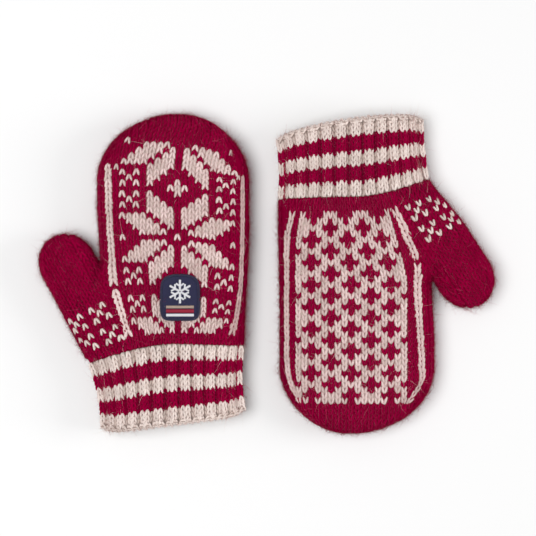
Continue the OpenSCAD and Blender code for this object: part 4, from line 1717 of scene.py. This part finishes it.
@dataclass(frozen=True)
class Place:
    """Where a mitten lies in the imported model: its origin in plan, and its turn.

    The left mitten is turned half round.
    """

    side: Side
    form: Form

    @property
    def turn(self) -> float:
        """+1 for the mitten that points away, -1 for the one turned half round."""
        return 1.0 if self.side is Side.RIGHT else -1.0

    def put(self, points: Array) -> Array:
        """Points of the mitten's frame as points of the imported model.

        Args:
            points: in millimetres.
        Returns:
            Metres. What would sink into the table is pressed flat on it.
        """
        hinge = next(j for j in frame["joints"] if j["name"] == f"{self.side.value}_thumb_swing")
        origin = np.array(hinge["pos_m"][:2]) - self.turn * Form().pivot * MM
        out = points * MM
        out[:, :2] = origin + self.turn * out[:, :2]
        out[:, 2] = np.maximum(out[:, 2], 0.02 * MM)
        return out

    def piece(self, name: str, shape: Shape, finish: Finish) -> Piece:
        """A dressed object of the shape, with smooth faces.

        Args:
            name: the piece's name, without its side.
            shape, finish: its mesh in the mitten's frame, and what it is made of.
        Returns:
            The object, which rides on nothing yet.
        """
        mesh = bpy.data.meshes.new(f"{self.side.value}_{name}")
        faces = [shape.quads, shape.tris]
        corners = np.concatenate([f.ravel() for f in faces]).astype(np.int32)
        counts = np.concatenate([np.full(len(f), f.shape[1]) for f in faces])
        starts = np.concatenate([[0], np.cumsum(counts)[:-1]]).astype(np.int32)
        mesh.vertices.add(len(shape.points))
        mesh.vertices.foreach_set("co", self.put(shape.points).astype(np.float32).ravel())
        mesh.loops.add(len(corners))
        mesh.loops.foreach_set("vertex_index", corners)
        mesh.polygons.add(len(starts))
        mesh.polygons.foreach_set("loop_start", starts)
        mesh.polygons.foreach_set("use_smooth", np.ones(len(starts), bool))
        for tag_name, values in shape.tags.items():
            layer = mesh.attributes.new(tag_name, "FLOAT", "POINT")
            layer.data.foreach_set("value", values.astype(np.float32))
        if shape.uv is not None:
            layer = mesh.uv_layers.new(name="thread")
            layer.data.foreach_set("uv", shape.uv[corners].astype(np.float32).ravel())
        mesh.update(calc_edges=True)
        mesh.validate()
        piece = in_scene(mesh.name, mesh)
        finish.dress(piece)
        log.info("%s: %d faces", piece.name, len(mesh.polygons))
        return piece

    @property
    def body(self) -> str:
        """The body that hand and cuff ride on."""
        return f"{self.side.value}_mitten"

    def nodes(self, *names: str) -> list[str]:
        """The names of CAD nodes of this mitten."""
        return [f"{self.side.value}_{name}" for name in names]

    def across_thumb(self, piece: Piece) -> Piece:
        """Bake the piece's transform into its mesh; it is not bent."""
        ends = np.array([[0.0, -17.0, self.form.edge_z], [0.0, 3.0, self.form.edge_z]])
        start, end = self.put(Form().from_thumb(ends))
        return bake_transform(piece)


@dataclass(frozen=True)
class Knitting:
    """The knitted parts of one mitten: hand, thumb and cuff, their ground, yarn and fuzz."""

    place: Place
    knitter: Knitter
    seed: int
    ground_in: float = 0.95
    wall: float = 2.4
    last_turn: float = 87.0
    spread: float = 1.9

    def near_cream(self, points: Array, stitches: Stitches) -> Array:
        """How far cream stitches outnumber crimson ones near each point.

        Args:
            points: where to look.
            stitches: all stitches, weighted by a bell curve over their distance.
        Returns:
            0 where few are cream, 1 where most are.
        """
        result = np.zeros(len(points))
        for part in np.array_split(np.arange(len(points)), max(1, len(points) // 1500)):
            gap = ((points[part][:, None] - stitches.middle[None]) ** 2).sum(-1)
            weight = np.exp(-gap / (2 * self.spread**2))
            result[part] = (weight @ stitches.cream) / (weight.sum(1) + 0.02)
        return smooth((result - 0.56) / 0.35)

    def ground(self, outer: Array, inner: Array, closed: bool, stitches: Stitches) -> Shape:
        """The fabric behind the stitches, in their colours with painted shade.

        Args:
            outer, inner, closed: as for wall.
            stitches: what it stands behind.
        Returns:
            The wall, with the tags of a stitch in painted shade.
        """
        shape = wall(outer, inner, closed)
        shape.tags = {
            "cream": self.near_cream(shape.points, stitches),
            # a crest of 0.35 paints the ground in shade, as for the low part of a yarn
            "crest": np.full(len(shape.points), 0.35),
            "lot": np.full(len(shape.points), 0.5),
        }
        return shape

    def build(self) -> None:
        """Build and dress every knitted piece of the mitten."""
        rng = np.random.default_rng(self.seed)
        self.build_hand(rng)
        self.build_thumb(rng)
        self.build_cuff(rng)

    def build_hand(self, rng: Rng) -> None:
        """The hand: its ground stands for the CAD shell; each face has yarn and fuzz.

        Args:
            rng: the source of chance, shared by all pieces of the mitten.
        """
        form, place = self.knitter.form, self.place
        sets = self.knitter.hand()
        q = run_out(0, form.tip_y, form.tip_l, 46, 22, self.last_turn)[:, None]
        u = turns(120)
        outer = form.hand_point(u, q, self.ground_in)
        inner = form.hand_point(u, q, self.wall)
        both = Stitches.join([*sets.values(), self.knitter.thumb()])
        hand = place.piece("hand", self.ground(outer, inner, True, both), GROUND)
        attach(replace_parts(hand, *place.nodes("hand_shell")), place.body)
        for name, count in (("top", 18000), ("under", 7000)):
            yarn = place.piece(f"hand_{name}_stitches", YarnLoop().shape(sets[name], rng), YARN)
            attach(yarn, place.body)
            fuzz = Fuzz(count).shape(sets[name], rng)
            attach(place.piece(f"hand_{name}_fuzz", fuzz, FUZZ), place.body)

    def build_thumb(self, rng: Rng) -> None:
        """Thumb and gusset; rng is as for build_hand."""
        form, place = self.knitter.form, self.place
        stitches = self.knitter.thumb()
        straight = form.thumb_l - form.thumb_tip_l
        q = run_out(-14, straight, form.thumb_tip_l, 16, 14, self.last_turn)[:, None]
        u = turns(64)
        root_in = 2.5 * smooth((-2 - q) / 12)
        outer = form.thumb_point(u, q, self.ground_in + root_in)
        inner = form.thumb_point(u, q, self.wall + root_in)
        thumb = place.piece("thumb", self.ground(outer, inner, True, stitches), GROUND)
        place.across_thumb(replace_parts(thumb, *place.nodes("thumb_shell")))
        yarn = place.piece("thumb_stitches", YarnLoop(wide=3.7).shape(stitches, rng), THUMB_YARN)
        place.across_thumb(yarn)
        place.across_thumb(place.piece("thumb_fuzz", Fuzz(9000).shape(stitches, rng), FUZZ))

    def build_cuff(self, rng: Rng) -> None:
        """The cuff, with its ribs and its cast-off edge; rng is as for build_hand."""
        form, place = self.knitter.form, self.place
        stitches = Stitches.join([self.knitter.cuff(), self.knitter.rim()])
        u = turns(8 * form.ribs)
        f = np.linspace(1, 0, 24)[:, None]
        depth = self.knitter.rib_depth(u)
        outer = form.cuff_point(u, f, self.ground_in + 1.7 * depth)
        inner = form.cuff_point(u, f, self.wall + 1.2 * form.rib_d)
        ground = self.ground(outer, inner, False, stitches)
        # the rib ground's painted shade, a little darker still
        behind = replace(GROUND, name="rib_behind_the_stitches", slot="rib_knit", dip=0.9)
        cuff = place.piece("cuff", ground, behind)
        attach(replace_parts(cuff, *place.nodes("cuff")), place.body)
        yarn = YarnLoop(wide=3.6).shape(stitches, rng)
        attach(place.piece("cuff_stitches", yarn, CUFF_YARN), place.body)
        fuzz = Fuzz(12000, mixed=0.12).shape(stitches, rng)
        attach(place.piece("cuff_fuzz", fuzz, FUZZ), place.body)


@dataclass(frozen=True)
class Lining:
    """The fleece pouch in hand and cuff and the one in the thumb, with a clumped inner face."""

    place: Place
    form: Form
    offset: float = 2.9
    thick: float = 1.6
    rib_d: float = 0.9
    seam_room: float = 2.5
    mouth: float = 0.94
    root_r: float = 16.3
    web_slope: float = 0.404
    last_turn: float = 86.0

    def clumps(self, p: Array) -> Array:
        """Height of the pile: three crossed waves, up to 0.25 either way."""
        x, y, z = p[..., 0], p[..., 1], p[..., 2]
        first, second = np.sin(1.9 * x + 0.7 * y), np.sin(1.7 * y - 0.9 * x + 1.3 * z)
        return 0.09 * (first + second + np.sin(2.3 * z + x))

    def hand_rings(self, inset: float) -> Array:
        """Rings of the pouch, each drawn in on the thumb side so far that it clears the root.

        Args:
            inset: distance inside the fabric's outer face.
        Returns:
            Rings from the mouth in the cuff to the fingertips.
        """
        form = self.form
        u = turns(96)
        f = np.linspace(self.mouth, 0, 18)[:, None]
        cuff = form.cuff_point(u, f, inset + self.rib_d, spread=1.0)
        q = run_out(0, form.tip_y, form.tip_l, 34, 12, self.last_turn)[2:, None]
        hand = form.hand_point(u, q, inset)
        rings = np.concatenate([cuff, hand])
        x, y = rings[..., 0], rings[..., 1]
        px, py = form.pivot
        bulge = np.sqrt(np.maximum(0.0, self.root_r**2 - (y - py) ** 2))
        limit = np.where(y < py, px + bulge, px + self.root_r - self.web_slope * (y - py))
        near = (np.abs(y - py) < self.root_r) & (bulge > 0)
        free = np.where(near, np.maximum(limit + (inset - self.offset), -60.0), -1e3)
        low, high = x.min(1, keepdims=True), x.max(1, keepdims=True)
        shrink = np.where(x < 0, np.minimum(1.0, free / np.minimum(low, -1.0)), 1.0)
        shrink = np.where(near, np.clip(shrink, 0.4, 1.0), 1.0)
        room = np.where(x > 0, (high - self.seam_room) / high, 1.0)
        rings[..., 0] = x * shrink * room
        return rings

    def build(self) -> None:
        """Build both linings in place of their CAD solids."""
        place, form = self.place, self.form
        outer, inner = self.hand_rings(self.offset), self.hand_rings(self.offset + self.thick)
        middle = inner.mean(1, keepdims=True)
        inner = inner + unit(middle - inner) * (self.clumps(inner)[..., None] + 0.2)
        hand = place.piece("hand_lining_fleece", wall(outer, inner, True), FLEECE)
        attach(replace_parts(hand, *place.nodes("hand_lining")), place.body)
        straight = form.thumb_l - form.thumb_tip_l
        q = run_out(-9, straight, form.thumb_tip_l, 14, 10, self.last_turn)[:, None]
        u = turns(48)
        outer = form.thumb_point(u, q, self.offset)
        inner = form.thumb_point(u, q, self.offset + self.thick)
        thumb = place.piece("thumb_lining_fleece", wall(outer, inner, True), FLEECE)
        place.across_thumb(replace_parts(thumb, *place.nodes("thumb_lining")))


@dataclass(frozen=True)
class Badge:
    """The small woven badge on the back of the hand, with its stitched motif and overcast edge."""

    place: Place
    form: Form
    face: Face
    wide: float = 21.8
    long: float = 23.6
    arch: float = 2.0
    thick: float = 0.9
    edge_w: float = 1.1
    at_x: float = 4.4
    at_y: float = 24.2
    corner: float = 0.4

    def outline(self, angle: Array, inset: Array) -> Array:
        """Points of a softly squared oval with an arched upper end.

        Args:
            angle: direction from its middle.
            inset: distance inside the edge.
        Returns:
            X and y of each point.
        """
        c, s = np.cos(angle), np.sin(angle)
        x = np.sign(c) * np.abs(c) ** self.corner
        y = np.sign(s) * np.abs(s) ** self.corner
        arched = np.where(s > 0, self.arch * (1 - x * x), 0.0)
        return np.stack([
            self.at_x + (self.wide / 2 - inset) * x,
            self.at_y + (self.long / 2 - inset) * y + arched,
        ], -1)

    def seat(self, plan: Array, height: Array | float) -> Array:
        """Points over the knitting that carries the badge.

        Args:
            plan: x and y of each.
            height: how far out of the fabric it is.
        Returns:
            The points, shaped as plan.
        """
        form, x, y = self.form, plan[..., 0], plan[..., 1]
        if self.face is Face.UNDER:
            return stack(x, y, self.thick + 0.1 - height)
        half = np.where(x < 0, form.thumb_edge(y), form.outer_edge(y))
        rise = form.hand_up(y) * arch(x / half, form.top_power)
        return stack(x, y, form.edge_z + 0.15 + rise + height)

    def turned(self, shape: Shape) -> Shape:
        """The shape with its faces turned over if the badge looks down."""
        if self.face is Face.UNDER:
            shape.quads, shape.tris = shape.quads[:, ::-1], shape.tris[:, ::-1]
        return shape

    def cloth(self) -> Shape:
        """The woven ground: a thin plate over the outline, a little domed."""
        around, rings = 96, 9
        angle = 2 * math.pi * np.arange(around) / around
        edge = self.outline(angle, 0.5)
        middle = np.array([self.at_x, self.at_y])
        share = np.linspace(0, 1, rings + 1)[1:]
        plan = middle + share[:, None, None] * (edge - middle)
        dome = self.thick * (0.62 + 0.1 * (1 - share[:, None] ** 2))
        top, base = self.seat(plan, dome), self.seat(plan, 0.0)
        count = rings * around
        poles = [self.seat(middle[None], height) for height in (0.72 * self.thick, 0.0)]
        shape = Shape(
            np.concatenate([top.reshape(-1, 3), base.reshape(-1, 3), *poles]),
            np.concatenate([
                tube_faces(rings, around, 0, turned=True),
                tube_faces(rings, around, count),
                rim_faces(around, count - around, 2 * count - around, turned=True),
            ]),
            np.concatenate([
                fan_faces(around, 0, 2 * count),
                fan_faces(around, count, 2 * count + 1, turned=True),
            ]),
        )
        return self.turned(shape)

    def threads(
        self, start: Array, end: Array, radius: float, colour: Array, height: float
    ) -> Shape:
        """Straight stitches of thread, each a slim bowed capsule.

        Args:
            start, end: x and y of the ends of each.
            radius: of the thread.
            colour: which colour of the finish each has, as its tag.
            height: how far out of the fabric they lie.
        Returns:
            All threads.
        """
        t = np.linspace(0, 1, 6)
        path = stack(0 * t, t - 0.5, 0.25 * (1 - (2 * t - 1) ** 4) - 0.1)
        fat = np.array([0.75, 1.0, 1.0, 0.75])
        template = capsule(path, fat * radius, 6, np.array([1.0, 0.0, 0.0]))
        low, high = self.seat(start, height), self.seat(end, height)
        along = high - low
        up = np.tile([0.0, 0.0, self.face.value], (len(start), 1))
        across = unit(np.cross(along, up))
        # nothing of a thread reaches past its ends
        template.points[:, 1] = np.clip(template.points[:, 1], -0.5, 0.5)
        axes = np.stack([across, along, unit(np.cross(across, along))], 1)
        tags = {"colour": colour, "lot": np.linspace(0, 1, len(start))}
        return copies(template, (low + high) / 2, axes, tags)

    def overcast(self) -> Shape:
        """The edge: close stitches of thread laid over the rim, square to the outline."""
        count = 190
        fine = np.linspace(0, 2 * math.pi, 2000)
        line = self.outline(fine, 0.0)
        steps = np.concatenate([[0.0], np.cumsum(np.linalg.norm(np.diff(line, axis=0), axis=1))])
        angle = np.interp(np.arange(count) * steps[-1] / count, steps, fine)
        step = 0.01
        run = unit(self.outline(angle + step, 0.0) - self.outline(angle - step, 0.0))
        inward = np.stack([-run[:, 1], run[:, 0]], -1)
        spot = self.outline(angle, 0.0)
        slant = 0.18 * run
        start, end = spot - 0.15 * inward, spot + (self.edge_w + 0.35) * inward + slant
        return self.threads(start, end, 0.30, np.full(count, 0.1), 0.70 * self.thick)

    @staticmethod
    def bar(start: Array, end: Array, wide: float, colour: float) -> tuple[Array, Array, Array]:
        """A satin-stitched bar: threads side by side across the line from start to end.

        Args:
            start, end: x and y of the ends of the line.
            wide: length of each thread.
            colour: the tag of all.
        Returns:
            Starts, ends and colours of the threads.
        """
        length = float(np.linalg.norm(end - start))
        run = (end - start) / length
        side = np.array([-run[1], run[0]])
        count = max(2, int(length / 0.36))
        t = (np.arange(count) + 0.5) / count
        line = start + t[:, None] * (end - start)
        return line - wide / 2 * side, line + wide / 2 * side, np.full(count, colour)

    def motif(self) -> Shape:
        """A plain six-armed snow crystal over three even stripes, all in satin stitch."""
        white, tan, red = 0.3, 0.6, 0.9
        bars = []
        heart = np.array([self.at_x, self.at_y + 4.2])
        for k in range(6):
            turn = math.radians(30 + 60 * k)
            run = np.array([math.cos(turn), math.sin(turn)])
            bars.append(self.bar(heart + 0.4 * run, heart + 6.4 * run, 1.5, white))
            for way in (-1, 1):
                lean = turn + way * math.radians(55)
                tip = np.array([math.cos(lean), math.sin(lean)])
                root = heart + 2.9 * run
                bars.append(self.bar(root, root + 2.6 * tip, 1.2, white))
        half = 0.5 * self.wide - 3.4
        for y, wide, colour in ((-4.2, 1.9, tan), (-6.4, 2.5, red), (-8.6, 1.9, white)):
            spot = np.array([self.at_x, self.at_y + y])
            bars.append(self.bar(spot - [half, 0], spot + [half, 0], wide, colour))
        start, end, colour = (np.concatenate(part) for part in zip(*bars))
        return self.threads(start, end, 0.24, colour, 0.78 * self.thick)

    def build(self) -> None:
        """Build the badge, its motif and its edge."""
        place = self.place
        cloth = place.piece("badge_cloth", self.cloth(), BADGE_CLOTH)
        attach(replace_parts(cloth, *place.nodes("badge")), place.body)
        edge = place.piece("badge_overcast_edge", self.overcast(), BADGE_THREAD)
        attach(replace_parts(edge, *place.nodes("badge_edge")), place.body)
        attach(place.piece("badge_motif", self.motif(), BADGE_THREAD), place.body)


@dataclass(frozen=True)
class Seams:
    """The sewn side seam inside the outer side, and the overcast seam of the lining's mouth."""

    place: Place
    form: Form
    offset: float = 2.9

    @staticmethod
    def ladder(
        middle: Array, out: Array, run: Array, long: float, radius: float, colour: float
    ) -> Shape:
        """Short stitches across a line, slanted along it and bowed outwards.

        Args:
            middle, out, run: a point for each, the direction out of the fabric, and the line's.
            long, radius: their size.
            colour: the tag of all.
        Returns:
            All stitches.
        """
        t = np.linspace(0, 1, 6)
        path = stack(0 * t, t - 0.5, 0.3 * (1 - (2 * t - 1) ** 2))
        template = capsule(path, radius * np.array([0.8, 1.0, 1.0, 0.8]), 6, np.array([1.0, 0, 0]))
        across = unit(np.cross(run, out))
        aim = unit(across + 0.5 * run) * long
        axes = np.stack([unit(np.cross(aim, out)), aim, unit(out)], 1)
        n = len(middle)
        tags = {"colour": np.full(n, colour), "lot": np.linspace(0, 1, n)}
        return copies(template, middle, axes, tags)

    def side(self) -> Shape:
        """Overcast stitches along the inside of the outer side, from hem to fingertips."""
        form = self.form
        f = np.linspace(0.92, 0.04, 26)
        cuff = form.cuff_point(np.zeros(26), f, self.offset + 0.9 + 1.2)
        q = np.linspace(4, form.tip_y, 50)
        hand = form.hand_point(np.zeros(50), q, self.offset + 1.2)
        line = np.concatenate([cuff, hand])
        run = unit(np.gradient(line, axis=0))
        out = np.tile([-1.0, 0.0, 0.0], (len(line), 1))
        return self.ladder(line, out, run, 2.6, 0.45, 0.1)

    def hem(self) -> Shape:
        """Overcast stitches round the mouth of the lining."""
        form = self.form
        u = np.arange(150) / 150
        line = form.cuff_point(u, np.full(150, 0.965), self.offset + 0.9 + 0.8, spread=0.6)
        ahead = form.cuff_point((u + 1 / 150) % 1, np.full(150, 0.965), self.offset + 1.7, spread=0.6)
        run = unit(ahead - line)
        out = unit(stack(0.0, -1.0, 0.0) + 0 * line)
        return self.ladder(line, out, run, 1.5, 0.36, 0.3)

    def build(self) -> None:
        """Build both seams in place of their CAD solids."""
        place = self.place
        side = place.piece("side_seam_stitches", self.side(), SEAM_THREAD)
        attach(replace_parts(side, *place.nodes("side_seam")), place.body)
        hem = place.piece("hem_seam_stitches", self.hem(), SEAM_THREAD)
        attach(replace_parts(hem, *place.nodes("hem_seam")), place.body)


@dataclass(frozen=True)
class Mitten:
    """One whole mitten."""

    side: Side
    form: Form
    faces: dict[Face, Pattern]
    badge: Face
    seed: int

    def build(self) -> None:
        """Build all its pieces in order."""
        place = Place(self.side, self.form)
        Knitting(place, Knitter(self.form, self.faces), self.seed).build()
        Lining(place, self.form).build()
        Badge(place, self.form, self.badge).build()
        Seams(place, self.form).build()
        log.info("%s mitten done", self.side.value)


# ---- studio


@dataclass(frozen=True)
class Studio:
    """A pale floor, soft light from the upper left, and a camera that looks straight down."""

    view: float = 0.2948
    middle: tuple[float, float] = (0.0016, 0.0032)
    lens: float = 135.0
    sensor: float = 36.0
    key: float = 14.6
    fill: float = 13.5
    sky: float = 0.33

    def floor(self) -> None:
        """A wide white floor; what the camera sees of it is lifted a little, shadows kept."""
        mesh = bpy.data.meshes.new("floor")
        far = 3.0
        corners = [(-far, -far, 0), (far, -far, 0), (far, far, 0), (-far, far, 0)]
        mesh.from_pydata(corners, [], [(0, 1, 2, 3)])
        floor = in_scene("floor", mesh)
        paper, tree, shader = blank_material("white_paper")
        shader.inputs["Base Color"].default_value = (0.86, 0.86, 0.86, 1)
        shader.inputs["Roughness"].default_value = 0.9
        shader.inputs["Specular IOR Level"].default_value = 0.0
        rays = add(tree, "ShaderNodeLightPath")
        seen = math_node(tree, "MAXIMUM", rays.outputs["Is Camera Ray"], rays.outputs["Is Glossy Ray"])
        shader.inputs["Emission Color"].default_value = (1, 1, 1, 1)
        glow = math_node(tree, "MULTIPLY", seen, 0.05)
        tree.links.new(glow, shader.inputs["Emission Strength"])
        mesh.materials.append(paper)

    def lights(self) -> None:
        """A large soft lamp high on the left, a weak low one on the right, and a white sky."""
        scene = bpy.context.scene
        for name, spot, size, power in (
            ("key", (-0.52, -0.04, 1.30), 1.05, self.key),
            ("fill", (1.5, 0.0, 0.52), 0.9, self.fill),
        ):
            lamp = bpy.data.lights.new(name, "AREA")
            lamp.shape, lamp.size, lamp.energy = "DISK", size, power
            light = in_scene(name, lamp)
            light.location = spot
            aim = math.atan2(math.hypot(spot[0], spot[1]), spot[2])
            light.rotation_euler = (0, aim, math.atan2(spot[1], spot[0]))
        world = bpy.data.worlds.new("sky")
        world.use_nodes = True
        light = world.node_tree.nodes["Background"]
        light.inputs["Color"].default_value = (1, 1, 1, 1)
        light.inputs["Strength"].default_value = self.sky
        scene.world = world
        scene.view_settings.view_transform = "Standard"

    def camera(self) -> None:
        """A long lens above the pair, which frames view metres at the widest line."""
        lens = bpy.data.cameras.new("camera")
        lens.lens, lens.sensor_width = self.lens, self.sensor
        camera = in_scene("camera", lens)
        height = self.view * self.lens / self.sensor + 0.009
        camera.location = (*self.middle, height)
        bpy.context.scene.camera = camera

    def build(self) -> None:
        """Floor, lights and camera."""
        self.floor()
        self.lights()
        self.camera()


def main() -> None:
    """Build the studio and both mittens."""
    logging.basicConfig(level=logging.INFO, format="%(name)s: %(message)s")
    Studio().build()
    right = Form(
        thumb_w=31.2, thumb_angle=30.0, thumb_out=7.7, thumb_y=28.6, gusset_tuck=-2.2,
        tuck_y=34.0, tuck_l=53.0, tip_off=2.4, cuff_l=43.2, hem_slope=7.2,
    )
    Mitten(Side.RIGHT, right, {Face.TOP: BACK, Face.UNDER: PALM}, Face.TOP, seed=7).build()
    left = Form(
        thumb_w=31.6, thumb_angle=33.0, thumb_out=9.3, thumb_y=26.0, gusset_tuck=3.7,
        tuck_y=14.0, tuck_l=30.0, tip_off=2.4, crotch_y=42.4, inner_wide=1.6, waist=-0.9,
        cuff_w=80.8, cuff_shift=3.2, cuff_waist=1.0, join_dip=10.2, join_dip_side=-0.9,
        join_bow=3.9, cuff_l=42.5, hem_bow=3.2, hem_corner=2.2,
    )
    Mitten(Side.LEFT, left, {Face.TOP: PALM, Face.UNDER: BACK}, Face.UNDER, seed=11).build()
    bpy.context.view_layer.update()


if __name__ == "__main__":
    main()
